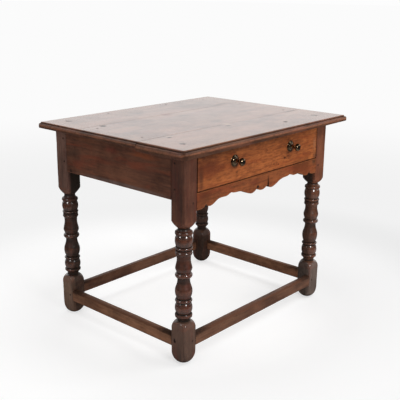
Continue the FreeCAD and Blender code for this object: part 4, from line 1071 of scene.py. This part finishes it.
def old_finish_group():
    """Years of wax and handling: blotches, dirt and painted shade in the corners, rubbed arrises
    with some painted highlight.
    """
    tree, given = shader_group(
        "Old wax",
        (("Color", "Color", colour(120, 80, 50)), ("Place", "Vector", (0, 0, 0)),
         ("Rub", "Float", 0.0), ("Dirt", "Float", 0.0), ("Rubbed", "Color", colour(150, 100, 65)),
         ("Dirty", "Color", colour(24, 15, 11)), ("Blotches", "Float", 0.5),
         ("Gloss", "Float", 0.3)),
        (("Color", "Color"), ("Roughness", "Float")),
    )
    place = given["Place"]
    blotches = cloud(tree, place, 9.0, detail=4.0, rough=0.6)
    darker = mix_colour(tree, 1.0, given["Color"], colour(150, 138, 132), blend="MULTIPLY")
    blotch_share = calculate(tree, "MULTIPLY", fade(tree, blotches, 0.42, 0.68), given["Blotches"])
    waxed = mix_colour(tree, blotch_share, given["Color"], darker)
    specks = cloud(tree, place, 75.0, detail=3.0, rough=0.65)
    rub_edge = calculate(tree, "ADD", given["Rub"], calculate(tree, "MULTIPLY", specks, 0.9))
    rub = fade(tree, rub_edge, 0.95, 1.45, 0.0, 0.9)
    rubbed = mix_colour(tree, rub, waxed, given["Rubbed"])
    grime_edge = calculate(tree, "MULTIPLY_ADD", specks, 0.55, given["Dirt"])
    grime = fade(tree, grime_edge, 0.4, 1.25, 0.0, 0.92)
    dirty = mix_colour(tree, grime, rubbed, given["Dirty"])
    gloss = calculate(tree, "MULTIPLY_ADD", blotches, 0.16, given["Gloss"])
    gloss = calculate(tree, "MULTIPLY_ADD", grime, 0.3, gloss)
    gloss = calculate(tree, "MULTIPLY_ADD", specks, 0.08, gloss)
    put(tree, "NodeGroupOutput", {0: dirty, 1: gloss})
    return tree


def knocks_group():
    """Dents, small pits and long scratches as a height from about -1 to 0."""
    tree, given = shader_group(
        "Knocks",
        (("Place", "Vector", (0, 0, 0)), ("Dents", "Float", 1.0), ("Scratches", "Float", 1.0)),
        (("Height", "Float"), ("Scratch", "Float")),
    )
    place = given["Place"]
    dents = cloud(tree, place, 42.0, detail=2.0, rough=0.55)
    dent = calculate(tree, "MULTIPLY", fade(tree, dents, 0.56, 0.8, 0.0, -1.0), given["Dents"])
    cells = put(tree, "ShaderNodeTexVoronoi",
                {"Vector": place, "Scale": 110.0, "Randomness": 1.0}).outputs[0]
    pit = calculate(tree, "MULTIPLY", fade(tree, cells, 0.06, 0.16, -0.5, 0.0), given["Dents"])
    total = calculate(tree, "ADD", dent, pit)
    scratch = None
    for turn, stretch in (((0.1, 0.2, 0.5), (6, 420, 420)), ((0.3, -0.1, -0.9), (9, 520, 520))):
        turned = put(tree, "ShaderNodeMapping", {0: place, 2: turn}).outputs[0]
        line = fade(tree, cloud(tree, turned, 1.0, stretch, detail=1.0), 0.70, 0.76)
        scratch = line if scratch is None else calculate(tree, "MAXIMUM", scratch, line)
    scratch = calculate(tree, "MULTIPLY", scratch, given["Scratches"])
    total = calculate(tree, "MULTIPLY_ADD", scratch, -0.5, total)
    put(tree, "NodeGroupOutput", {0: total, 1: scratch})
    return tree


def stain_group():
    """A ragged spot: 1 inside the given size round the centre, 0 outside."""
    tree, given = shader_group(
        "Stain",
        (("Place", "Vector", (0, 0, 0)), ("Centre", "Vector", (0, 0, 0)),
         ("Reach", "Vector", (0.01, 0.01, 0.01)), ("Ragged", "Float", 0.4),
         ("Softness", "Float", 0.5), ("Strength", "Float", 1.0)),
        (("Mask", "Float"),),
    )
    offset = calculate_vector(tree, "SUBTRACT", given["Place"], given["Centre"])
    scaled = calculate_vector(tree, "DIVIDE", offset, given["Reach"])
    length = calculate_vector(tree, "LENGTH", scaled)
    rough = calculate(tree, "SUBTRACT", cloud(tree, scaled, 1.6, detail=4.0, rough=0.6), 0.5)
    edge = calculate(tree, "MULTIPLY_ADD", rough, given["Ragged"], length)
    start = calculate(tree, "SUBTRACT", 1.0, given["Softness"])
    inside = fade(tree, edge, start, 1.0, 1.0, 0.0)
    put(tree, "NodeGroupOutput", {0: calculate(tree, "MULTIPLY", inside, given["Strength"])})
    return tree


FIGURE = oak_figure_group()
OLD_WAX = old_finish_group()
KNOCKS = knocks_group()
STAIN = stain_group()


def use(tree, group, **inputs):
    """Places a group, with values or outputs for its named sockets."""
    return put(tree, "ShaderNodeGroup", inputs, node_tree=group).outputs


def empty_tree(holder):
    """The node tree of a new material or world, without its nodes."""
    holder.use_nodes = True
    holder.node_tree.nodes.clear()
    return holder.node_tree


def blank_material(name):
    """A material with one surface, its tree and the surface."""
    material = bpy.data.materials.new(name)
    tree = empty_tree(material)
    shader = put(tree, "ShaderNodeBsdfPrincipled")
    put(tree, "ShaderNodeOutputMaterial", {0: shader.outputs[0]})
    return material, tree, shader


FIGURE_RELIEF = 0.35             # how much the grain can be felt


def oak(name, pale, deep, rubbed, dirty, flush=None, flushed=0.5, mottle=0.15, contrast=1.0,
        blotches=0.5, gloss=0.3, dull_gloss=0.3, dents=1.0, scratches=0.5, coat=0.0,
        coat_gloss=0.25, marks=(), grain_from="field", zones=(), specular=0.3, coat_bend=1.5):
    """An oak finish. Its colours are red, green and blue from 0 to 255.

    flush is the colour of its red streaks. marks are local spots, each with its centre, reach,
    colour, strength, raggedness, softness and how dull it makes the polish. coat is the polish
    over it, where its "polish" field allows, and dull_gloss is how much rougher it is elsewhere.
    zones are (low, high, pale, deep): a second pair of colours that takes over as the "zone"
    field runs from low to high. grain_from is the way the grain runs where no field says it.
    """
    flush = flush or rubbed
    pale, deep, rubbed, dirty, flush = (colour(*each)
                                        for each in (pale, deep, rubbed, dirty, flush))
    material, tree, shader = blank_material(name)
    place = put(tree, "ShaderNodeTexCoord").outputs["Object"]
    if grain_from == "field":
        grain = stored(tree, "grain", "Vector")
        rub = stored(tree, "rub")
        dirt = stored(tree, "dirt")
    else:
        quarter = math.radians(90)
        turn = {"x": (0, 0, 0), "y": (0, 0, quarter), "z": (0, quarter, 0)}[grain_from]
        grain = put(tree, "ShaderNodeMapping", {0: place, 2: turn}).outputs[0]
        rub = 0.0
        dirt = 0.0
    if zones:
        zone = stored(tree, "zone")
        wander = calculate(tree, "MULTIPLY_ADD", cloud(tree, place, 30.0), 0.5, -0.25)
        zone = calculate(tree, "ADD", zone, wander)
        for low, high, zone_pale, zone_deep in zones:
            share = fade(tree, zone, low, high)
            pale = mix_colour(tree, share, pale, colour(*zone_pale))
            deep = mix_colour(tree, share, deep, colour(*zone_deep))
    figure = use(tree, FIGURE, Grain=grain, Pale=pale, Deep=deep, Flush=flush,
                 Flushed=flushed, Mottle=mottle, Contrast=contrast)
    wood = figure["Color"]
    dulled = 0.0
    for centre, reach, tint, strength, ragged, softness, dull in marks:
        spot = use(tree, STAIN, Place=place, Centre=centre, Reach=reach, Ragged=ragged,
                   Softness=softness, Strength=strength)
        wood = mix_colour(tree, spot["Mask"], wood, colour(*tint))
        if dull:
            dulled = calculate(tree, "MULTIPLY_ADD", spot["Mask"], dull, dulled)
    if coat:
        polish = stored(tree, "polish")
        kept = calculate(tree, "MULTIPLY_ADD", dulled, -1.0, polish, use_clamp=True)
        gloss = calculate(tree, "MULTIPLY_ADD", kept, -dull_gloss, gloss + dull_gloss)
        tree.links.new(calculate(tree, "MULTIPLY", kept, coat), shader.inputs["Coat Weight"])
    finish = use(tree, OLD_WAX, Color=wood, Place=place, Rub=rub, Dirt=dirt, Rubbed=rubbed,
                 Dirty=dirty, Blotches=blotches, Gloss=gloss)
    knocks = use(tree, KNOCKS, Place=place, Dents=dents, Scratches=scratches)
    scratched = mix_colour(tree, calculate(tree, "MULTIPLY", knocks["Scratch"], 0.35),
                           finish["Color"], rubbed)
    tree.links.new(scratched, shader.inputs["Base Color"])
    tree.links.new(finish["Roughness"], shader.inputs["Roughness"])
    fine = put(tree, "ShaderNodeBump",
               {"Strength": FIGURE_RELIEF, "Distance": 0.35 * MM,
                "Height": figure["Height"]}).outputs[0]
    bump = put(tree, "ShaderNodeBump",
               {"Strength": 0.6, "Distance": 0.7 * MM, "Height": knocks["Height"],
                "Normal": fine}).outputs[0]
    tree.links.new(bump, shader.inputs["Normal"])
    shader.inputs["Coat Roughness"].default_value = coat_gloss
    shader.inputs["Coat IOR"].default_value = coat_bend
    shader.inputs["Specular IOR Level"].default_value = specular
    return material


def metal(name, bright, dull, roughness, dirty, metallic=1.0, uneven=0.22):
    """A worn metal: bright where it is touched, dull and dirty in its hollows."""
    bright, dull, dirty = (colour(*each) for each in (bright, dull, dirty))
    material, tree, shader = blank_material(name)
    place = put(tree, "ShaderNodeTexCoord").outputs["Object"]
    dirt = stored(tree, "dirt")
    patches = cloud(tree, place, 160.0, detail=4.0, rough=0.65)
    surface = mix_colour(tree, fade(tree, patches, 0.4, 0.7), bright, dull)
    fine = cloud(tree, place, 900.0, detail=3.0)
    grime = calculate(tree, "MULTIPLY_ADD", fine, 0.5, dirt)
    grime = fade(tree, grime, 0.35, 1.1)
    surface = mix_colour(tree, grime, surface, dirty)
    tree.links.new(surface, shader.inputs["Base Color"])
    rough = calculate(tree, "MULTIPLY_ADD", patches, uneven, roughness)
    rough = calculate(tree, "MULTIPLY_ADD", grime, 0.3, rough)
    tree.links.new(rough, shader.inputs["Roughness"])
    shine = calculate(tree, "MULTIPLY_ADD", grime, -0.45, metallic)
    tree.links.new(shine, shader.inputs["Metallic"])
    bump = put(tree, "ShaderNodeBump",
               {"Strength": 0.25, "Distance": 0.25 * MM, "Height": fine}).outputs[0]
    tree.links.new(bump, shader.inputs["Normal"])
    return material


# ------------------------------------------------------------------ finishes
TOP_LEFT = LEFT - 46 * MM        # just inside the left end of the top
TOP_BACK = corner_high("top_board_back").y


def top_mark(x, back, reach, tint, strength, ragged=0.8, softness=0.6, depth=None, dull=0.0):
    """A mark on the top, x from just inside its left end and back from its back edge."""
    centre = (TOP_LEFT + x * MM, TOP_BACK - back * MM, TOP)
    return (centre, (reach * MM, (depth or reach) * MM, 0.02), tint, strength, ragged, softness,
            dull)


def face_mark(x, down, reach, tint, strength, ragged=0.5, softness=0.4, depth=None):
    """A mark on the front, x from the outside of the left leg and down from the top's surface."""
    centre = (LEFT + x * MM, FRONT, TOP - down * MM)
    return (centre, (reach * MM, 0.02, (depth or reach) * MM), tint, strength, ragged, softness,
            0.0)


INK = (26, 16, 13)         # nearly black stains, and the painted shadow in a chip of the front rail
SMOKE = (62, 42, 32)       # and browner ones
TOP_MARKS = (
    top_mark(97, 222, 15, INK, 0.95, dull=0.75),
    top_mark(114, 512, 12, INK, 0.9, depth=8, dull=0.6),
    top_mark(126, 496, 15, (176, 142, 120), 0.7),
    top_mark(395, 513, 19, INK, 0.8, depth=9, dull=0.55),
    top_mark(415, 491, 22, (182, 150, 128), 0.6),
    top_mark(592, 607, 11, INK, 1.0, ragged=0.5, dull=1.0),
    top_mark(790, 486, 52, SMOKE, 0.8, depth=7, dull=0.45),
    top_mark(403, 214, 26, (120, 62, 50), 0.7, dull=0.25),
    top_mark(745, 186, 48, SMOKE, 0.8, depth=8, dull=0.35),
    top_mark(74, 72, 18, SMOKE, 0.8, dull=0.5), top_mark(75, 604, 14, INK, 0.7, dull=0.45),
    top_mark(778, 600, 16, (58, 50, 34), 0.7, dull=0.4),
    top_mark(360, 250, 60, (130, 70, 56), 0.4, depth=22),
    top_mark(130, 395, 52, (150, 88, 72), 0.35, depth=24),
)
DRAWER_MARKS = (
    # Dark halos round the two roses: handling dirt, with the knobs' painted shadow.
    face_mark(230, 86, 30, (58, 32, 21), 0.6, softness=0.8),
    face_mark(533, 86, 27, (58, 32, 21), 0.5, softness=0.8),
    face_mark(507, 116, 8, INK, 0.8, 0.4, 0.6, depth=4.5),
    face_mark(471, 132.5, 4.2, INK, 0.7, 0.3, 0.6), face_mark(445, 128, 4.5, INK, 0.65, 0.3, 0.6),
    face_mark(246, 120, 7, INK, 0.55, 0.5, 0.7, depth=4.5),
    # Darker still round the roses: handling dirt, with the knobs' painted shadow.
    face_mark(238, 88, 27, (40, 22, 15), 0.8, 0.7, 0.6, depth=24),
    face_mark(541, 88, 25, (46, 26, 17), 0.75, 0.7, 0.6, depth=22),
    face_mark(110, 82, 95, (112, 56, 36), 0.6, 1.0, 0.9, depth=45),
    face_mark(215, 56, 30, (150, 72, 34), 0.5, 0.8, 0.9, depth=10),
    face_mark(690, 95, 12, (142, 110, 84), 0.35, 0.9, 0.8, depth=40),
    face_mark(74, 110, 18, (84, 50, 34), 0.7, 0.5, 0.9, depth=60),
    face_mark(696, 140, 14, (90, 62, 46), 0.7, 0.7, 0.9, depth=14),
)
APRON_MARKS = (
    # Painted shadow in a chip on the left side of the middle lobe.
    face_mark(358, 190, 9, INK, 0.9, 0.4, 0.6, depth=8),
    face_mark(92, 176, 40, (104, 58, 34), 0.6, 1.0, 0.9),
    face_mark(690, 160, 20, (66, 48, 34), 0.7, 0.9, 0.9, depth=16),
    face_mark(340, 172, 45, (104, 46, 30), 0.6, 1.0, 0.9, depth=14),
)


def side_mark(y, z, reach, tint, strength, ragged=0.9, softness=0.8, depth=None):
    """A mark on the left side rail, y and z in the frame's millimetres."""
    return ((LEFT, y * MM, z * MM), (0.02, reach * MM, (depth or reach) * MM), tint, strength,
            ragged, softness, 0.0)


RAIL_MARKS = (
    side_mark(25, 652, 46, (126, 62, 46), 0.7, depth=15),
    side_mark(-125, 656, 85, (138, 72, 40), 0.75, depth=13),
    side_mark(215, 612, 60, (84, 62, 50), 0.6, depth=28),
    side_mark(195, 584, 36, (112, 58, 44), 0.5, depth=10),
    side_mark(-20, 547, 280, (116, 98, 92), 0.75, ragged=0.3, depth=9),
    # A paler band along the top of the rail: painted light where the top's edge shades it.
    side_mark(0, 680, 290, (142, 96, 72), 0.6, ragged=0.3, depth=14),
    side_mark(236, 545, 9, (44, 26, 20), 0.8, softness=0.6, depth=12),
    side_mark(150, 668, 70, (126, 78, 52), 0.5, depth=13),
    side_mark(-150, 604, 80, (92, 56, 44), 0.4, depth=24),
)
oak_top = oak("oak_top", (154, 105, 77), (110, 73, 55), (148, 94, 66), (44, 28, 18),
              flush=(148, 88, 70), flushed=0.35, mottle=0.1, blotches=0.6, gloss=0.26,
              dull_gloss=0.2, coat=1.0, coat_gloss=0.24, scratches=1.0, marks=TOP_MARKS,
              specular=0.45, coat_bend=1.6, zones=((0.25, 0.8, (112, 70, 46), (76, 46, 30)),))
oak_leg = oak("oak_leg_blackened", (92, 52, 37), (48, 30, 21), (112, 66, 47), (32, 24, 16),
              flush=(104, 45, 31), flushed=0.4, blotches=0.4, gloss=0.13, dull_gloss=0.26, coat=1.0,
              coat_gloss=0.07, coat_bend=1.7, dents=0.8, scratches=0.4,
              zones=((0.3, 0.8, (126, 80, 54), (72, 44, 32)),
                     (1.3, 1.8, (112, 68, 49), (70, 42, 32)),
                     (2.3, 2.8, (142, 86, 59), (96, 56, 39)),
                     (3.3, 3.8, (132, 97, 83), (88, 64, 55)),
                     (-0.3, -0.8, (108, 80, 66), (70, 51, 41)),
                     (-1.3, -1.8, (134, 103, 84), (90, 68, 54)),
                     (-2.3, -2.8, (118, 100, 90), (84, 70, 62))))
oak_rail = oak("oak_rail_waxed", (130, 83, 61), (83, 53, 41), (120, 76, 56), (26, 17, 14),
               flush=(134, 66, 44), flushed=0.6, mottle=0.25, blotches=0.6, gloss=0.36,
               scratches=0.5, marks=RAIL_MARKS)
oak_apron = oak("oak_front_rail_waxed", (154, 87, 49), (102, 54, 31), (148, 90, 52), (24, 14, 10),
                flush=(140, 64, 36), flushed=0.55, mottle=0.45, blotches=0.5, gloss=0.34,
                marks=APRON_MARKS)
oak_stretcher = oak("oak_stretcher_worn", (126, 86, 63), (88, 58, 43), (98, 62, 44), (36, 25, 19),
                    flush=(116, 66, 45), flushed=0.4, mottle=0.25, blotches=0.6, gloss=0.4,
                    scratches=1.0)
oak_stretcher_side = oak("oak_stretcher_dusty", (154, 108, 80), (106, 73, 54), (96, 64, 47),
                         (36, 25, 19), flush=(124, 76, 54), flushed=0.35, mottle=0.25, blotches=0.6,
                         gloss=0.45, scratches=1.0, specular=0.14)
oak_drawer = oak("oak_drawer_front_waxed", (180, 104, 56), (124, 66, 36), (164, 98, 56),
                 (30, 17, 11), flush=(140, 66, 34), flushed=0.5, mottle=0.7, blotches=0.45,
                 gloss=0.3, marks=DRAWER_MARKS)
oak_lining_long = oak("oak_lining_front_to_back", (168, 132, 92), (122, 88, 58), (178, 146, 108),
                      (60, 42, 30), flushed=0.2, gloss=0.55, blotches=0.6, grain_from="y")
oak_lining_wide = oak("oak_lining_side_to_side", (164, 128, 90), (118, 86, 57), (178, 146, 108),
                      (60, 42, 30), flushed=0.2, gloss=0.55, blotches=0.6, grain_from="x")
oak_hidden = oak("oak_runner_dry", (132, 100, 70), (88, 62, 42), (150, 118, 86), (48, 34, 25),
                 flushed=0.2, gloss=0.6, blotches=0.6, grain_from="y")
oak_peg = oak("oak_peg_end_grain", (74, 44, 33), (40, 24, 19), (100, 64, 48), (20, 13, 11),
              flushed=0.2, contrast=1.2, gloss=0.3, grain_from="z")
brass = metal("brass_aged", (146, 124, 98), (98, 80, 60), 0.03, (24, 18, 14), uneven=0.16)
iron = metal("iron_rusted", (88, 80, 76), (70, 48, 38), 0.42, (30, 22, 18), metallic=0.85)


# ------------------------------------------------------------------ the table
def place_timber(name, mesh, material):
    """Puts a rail or a stretcher in place of its solid."""
    return finish_piece(name + "_worn", mesh, "table", [name], material)


def rails_and_stretchers():
    """The rails, and the stretchers that feet have worn down."""
    side = (("left", LEFT, LEFT + THICK), ("right", RIGHT - THICK, RIGHT))
    for index, (name, x_low, x_high) in enumerate(side):
        mesh = timber("side_rail_" + name, "y", (x_low, INNER_FRONT, RAIL_BOTTOM),
                      (x_high, INNER_BACK, UNDERSIDE), 1.6 * MM, 21.0 + index)
        place_timber("side_rail_" + name, mesh, oak_rail)
    mesh = timber("back_rail", "x", (INNER_LEFT, BACK - THICK, RAIL_BOTTOM),
                  (INNER_RIGHT, BACK, UNDERSIDE), 1.6 * MM, 23.0)
    place_timber("back_rail", mesh, oak_rail)
    place_timber("front_rail", front_rail_mesh(24.0), oak_apron)

    def feet_wear(seed):
        def wear(station):
            wide, deep = (station, 0, 0), (station, 1, 0)
            width = 10 + 3.5 * ripple(wide, 6, seed) + 1.5 * ripple(wide, 28, seed)
            depth = 5 + 2.2 * ripple(deep, 7, seed) + 0.8 * ripple(deep, 31, seed)
            return width * MM, depth * MM
        return wear

    bars = (
        ("stretcher_front", "x", (INNER_LEFT, FRONT, STRETCHER_LOW),
         (INNER_RIGHT, FRONT + THICK, STRETCHER_HIGH)),
        ("stretcher_back", "x", (INNER_LEFT, BACK - THICK, STRETCHER_LOW),
         (INNER_RIGHT, BACK, STRETCHER_HIGH)),
        ("stretcher_left", "y", (LEFT, INNER_FRONT, STRETCHER_LOW),
         (LEFT + THICK, INNER_BACK, STRETCHER_HIGH)),
        ("stretcher_right", "y", (RIGHT - THICK, INNER_FRONT, STRETCHER_LOW),
         (RIGHT, INNER_BACK, STRETCHER_HIGH)),
    )
    for index, (name, axis, low, high) in enumerate(bars):
        seed = 31.0 + index
        mesh = timber(name, axis, low, high, 2.0 * MM, seed, worn=feet_wear(seed),
                      unevenness=0.5 * MM, corner_dirt=0.75)
        material = oak_stretcher if axis == "x" else oak_stretcher_side
        place_timber(name, mesh, material)


for index, board in enumerate(("front", "middle", "back")):
    node = "top_board_" + board
    mesh = top_board(node, 11.0 + index, board == "front", board == "back")
    finish_piece(node + "_worn", mesh, "table", [node], oak_top, sharp=60)
rails_and_stretchers()
# Which tone each leg takes on its upper block, its shaft and its foot block: 0 is the plain
# colour of the finish, and each whole number up or down takes over from the one before. The
# back right leg's foot block keeps a darker tone, -0.5, as painted shade
LEG_TONES = {"leg_front_left": (2.0, 0.0, -1.0), "leg_front_right": (3.0, 1.0, -3.0),
             "leg_back_left": (4.0, 0.0, -2.0), "leg_back_right": (2.0, 0.0, -0.5)}
for index, (name, tones) in enumerate(LEG_TONES.items()):
    leg(name, 41.0 + index, *tones, oak_leg)
finish_piece("drawer_front_waxed", drawer_face("drawer_front_waxed", 51.0), "drawer",
             ["drawer_front"], oak_drawer, sharp=35)
for side in ("left", "right"):
    rose = turned_brass("rose_" + side, ROSE, side, 61.0)
    finish_piece("rose_" + side, rose, "drawer", ["knob_rose_" + side], brass,
                 sharp=50)
    knob = turned_brass("knob_turned_" + side, KNOB, side, 63.0)
    finish_piece("knob_turned_" + side, knob, "drawer", ["knob_" + side], brass,
                 sharp=50)
# The pegs' radius and length, and how far their heads stand out, in millimetres
PEGS = (("rail_pegs", 4, 28, 0.0), ("stretcher_pegs", 4, 28, 0.0), ("top_pegs", 4.5, 44, 0.2))
tree = peg_tree()
for node, radius, length, lift in PEGS:
    pegs(node + "_shaved", node, tree, radius * MM, length * MM, oak_peg, lift * MM)
PLAIN_FINISHES = (
    (oak_lining_long, ("drawer_side_left", "drawer_side_right", "drawer_bottom_left",
                       "drawer_bottom_middle", "drawer_bottom_right")),
    (oak_lining_wide, ("drawer_back",)),
    (oak_hidden, ("drawer_runner_left", "drawer_runner_right", "drawer_guide_left",
                  "drawer_guide_right", "drawer_stops")),
    (iron, ("guide_nails", "drawer_nails", "knob_nut_left", "knob_nut_right")),
)
for material, nodes in PLAIN_FINISHES:
    for node in nodes:
        for holder in frame["nodes"][node].material_slots:
            holder.material = material


# ------------------------------------------------------------------ room, light and camera
def soft_box(name, place, target, width, height, watts, lit=True, mirrored=True, pieces=None):
    """A soft lamp. It may only light, or only be mirrored, or be mirrored in some pieces alone."""
    lamp = bpy.data.lights.new(name, "AREA")
    lamp.shape = "RECTANGLE"
    lamp.size = width
    lamp.size_y = height
    lamp.energy = watts
    holder = bpy.data.objects.new(name, lamp)
    holder.location = place
    holder.rotation_mode = "QUATERNION"
    holder.rotation_quaternion = (Vector(target) - Vector(place)).to_track_quat("-Z", "Y")
    holder.visible_camera = False
    holder.visible_diffuse = lit
    holder.visible_glossy = mirrored
    if pieces:
        holder.light_linking.receiver_collection = pieces
    bpy.context.scene.collection.objects.link(holder)


FLOOR_REACH = 60.0
FLOOR_SLOPE = (-0.056, 0.126, 0.0)    # which way the floor's painted light grows, and how fast
ROOM_BEHIND = (0.73, 0.68, 0.0)       # the way to the bright end of the room


def pale_floor():
    """A floor that is palest near the table, where painted light evens out its shade, with the
    rest of the room dimmer round it.
    """
    mesh = bpy.data.meshes.new("floor")
    far = FLOOR_REACH
    mesh.from_pydata([(-far, -far, 0), (far, -far, 0), (far, far, 0), (-far, far, 0)], [],
                     [(0, 1, 2, 3)])
    floor = bpy.data.objects.new("floor", mesh)
    bpy.context.scene.collection.objects.link(floor)
    material = bpy.data.materials.new("floor_pale")
    tree = empty_tree(material)
    place = put(tree, "ShaderNodeTexCoord").outputs["Object"]
    away = calculate_vector(tree, "LENGTH", place)
    paint = mix_colour(tree, fade(tree, away, 0.8, 1.7), (0.88, 0.88, 0.88, 1),
                       (0.22, 0.22, 0.22, 1))
    rays = put(tree, "ShaderNodeLightPath").outputs
    unseen = calculate(tree, "MULTIPLY", rays["Is Camera Ray"],
                       fade(tree, away, 0.75, 1.5, 0.45, 1.0))
    dimmed = calculate(tree, "MULTIPLY", rays["Is Glossy Ray"], 0.6)
    unseen = calculate(tree, "MAXIMUM", unseen, dimmed)
    matt = put(tree, "ShaderNodeBsdfDiffuse", {0: mix_colour(tree, unseen, paint, (0, 0, 0, 1))})
    # Far off, the glow that only the camera sees is the plain white backdrop; near the table part
    # of it is painted light, strongest under the table and growing along FLOOR_SLOPE, that evens
    # out the table's shade and the lamps' falloff on the floor
    slope = calculate_vector(tree, "DOT_PRODUCT", place, FLOOR_SLOPE)
    near = calculate(tree, "ADD", fade(tree, away, 0.3, 0.6, 0.665, 0.525), slope)
    beyond = calculate(tree, "SUBTRACT", 0.885, near)
    white = calculate(tree, "MULTIPLY_ADD", fade(tree, away, 0.75, 1.5), beyond, near)
    white = calculate(tree, "ADD", white, fade(tree, away, 1.9, 4.5, 0.0, 0.08))
    glow = put(tree, "ShaderNodeEmission",
               {0: (1, 1, 1, 1), 1: calculate(tree, "MULTIPLY", white, rays["Is Camera Ray"])})
    both = put(tree, "ShaderNodeAddShader", {0: matt.outputs[0], 1: glow.outputs[0]})
    put(tree, "ShaderNodeOutputMaterial", {0: both.outputs[0]})
    mesh.materials.append(material)


def room_light(ambient, dim, bright):
    """A white room to look at, an even light on the wood, and a room with a dim end to mirror."""
    world = bpy.data.worlds.new("room")
    tree = empty_tree(world)
    rays = put(tree, "ShaderNodeLightPath").outputs
    way = put(tree, "ShaderNodeTexCoord").outputs["Generated"]
    behind = calculate_vector(tree, "DOT_PRODUCT", way, ROOM_BEHIND)
    mirrored = calculate(tree, "MAXIMUM", rays["Is Glossy Ray"], rays["Is Transmission Ray"])
    mirror = calculate(tree, "MULTIPLY", mirrored, fade(tree, behind, 0.1, 0.75, dim, bright))
    seen = calculate(tree, "MULTIPLY", rays["Is Camera Ray"], 0.98)
    strength = calculate(tree, "MAXIMUM", seen, mirror)
    direct = calculate(tree, "MAXIMUM", rays["Is Camera Ray"], mirrored)
    even = calculate(tree, "MULTIPLY_ADD", direct, -ambient, ambient)
    sky = put(tree, "ShaderNodeBackground",
              {0: (1, 1, 1, 1), 1: calculate(tree, "ADD", strength, even)})
    put(tree, "ShaderNodeOutputWorld", {0: sky.outputs[0]})
    bpy.context.scene.world = world


def camera(place, heading, tilt, lean, lens):
    """A camera at a place, turned to a heading and tilted down by radians."""
    ahead = Vector((math.sin(heading) * math.cos(tilt), math.cos(heading) * math.cos(tilt),
                    -math.sin(tilt)))
    across = Vector((math.cos(heading), -math.sin(heading), 0))
    above = across.cross(ahead)
    right = math.cos(lean) * across + math.sin(lean) * above
    up = -math.sin(lean) * across + math.cos(lean) * above
    view = bpy.data.cameras.new("camera")
    view.lens = lens
    view.sensor_width = 36
    view.clip_end = 200
    holder = bpy.data.objects.new("camera", view)
    holder.matrix_world = Matrix((
        (right.x, up.x, -ahead.x, place[0]),
        (right.y, up.y, -ahead.y, place[1]),
        (right.z, up.z, -ahead.z, place[2]),
        (0, 0, 0, 1),
    ))
    bpy.context.scene.collection.objects.link(holder)
    bpy.context.scene.camera = holder


pale_floor()
room_light(ambient=0.35, dim=0.1, bright=1.0)
soft_box("soft_box_left", (-2.57, 0.42, 1.15), (0, 0, 0.45), 1.0, 0.8, 10, mirrored=False)
soft_box("soft_box_front", (-0.49, -2.66, 1.25), (0, 0, 0.45), 1.0, 0.8, 27, mirrored=False)
turned_pieces = bpy.data.collections.new("turned_pieces")
for piece in bpy.context.scene.objects:
    if piece.name.endswith("_turned") or piece.name.startswith(("rose_", "knob_turned_")):
        turned_pieces.objects.link(piece)
# Windows to mirror: full on the turned pieces and the brass, and faint on the flat boards
WINDOWS = (
    ("window_left_", (-1.8, 0.1, 1.25), (0, 0, 0.5), 0.4, 0.62, 7.5),
    ("window_front_", (-0.55, -1.86, 1.25), (0, 0, 0.5), 0.4, 0.62, 15),
    ("window_right_", (1.6, -1.9, 1.1), (0, 0, 0.6), 0.4, 0.4, 2),
)
for seen_by, share, pieces in (("turnings", 1.0, turned_pieces), ("boards", 0.16, None)):
    for name, place, target, width, height, watts in WINDOWS:
        soft_box(name + seen_by, place, target, width, height, watts * share, lit=False,
                 pieces=pieces)
soft_box("soft_box_over_front", (1.1, -1.7, 2.3), (0, 0, 0.3), 1.6, 1.2, 30, mirrored=False)
soft_box("soft_box_top", (0.0, 0.4, 2.9), (0, 0, 0.4), 2.2, 2.2, 22)
soft_box("soft_box_behind", (2.9, 2.7, 1.25), (0, 0, 0.7), 3.4, 1.0, 20, mirrored=False)
camera(place=(-1.8558, -1.6640, 1.1434), heading=0.8436, tilt=0.2867, lean=0.0098, lens=63.89)

bpy.context.scene.view_settings.view_transform = "Standard"
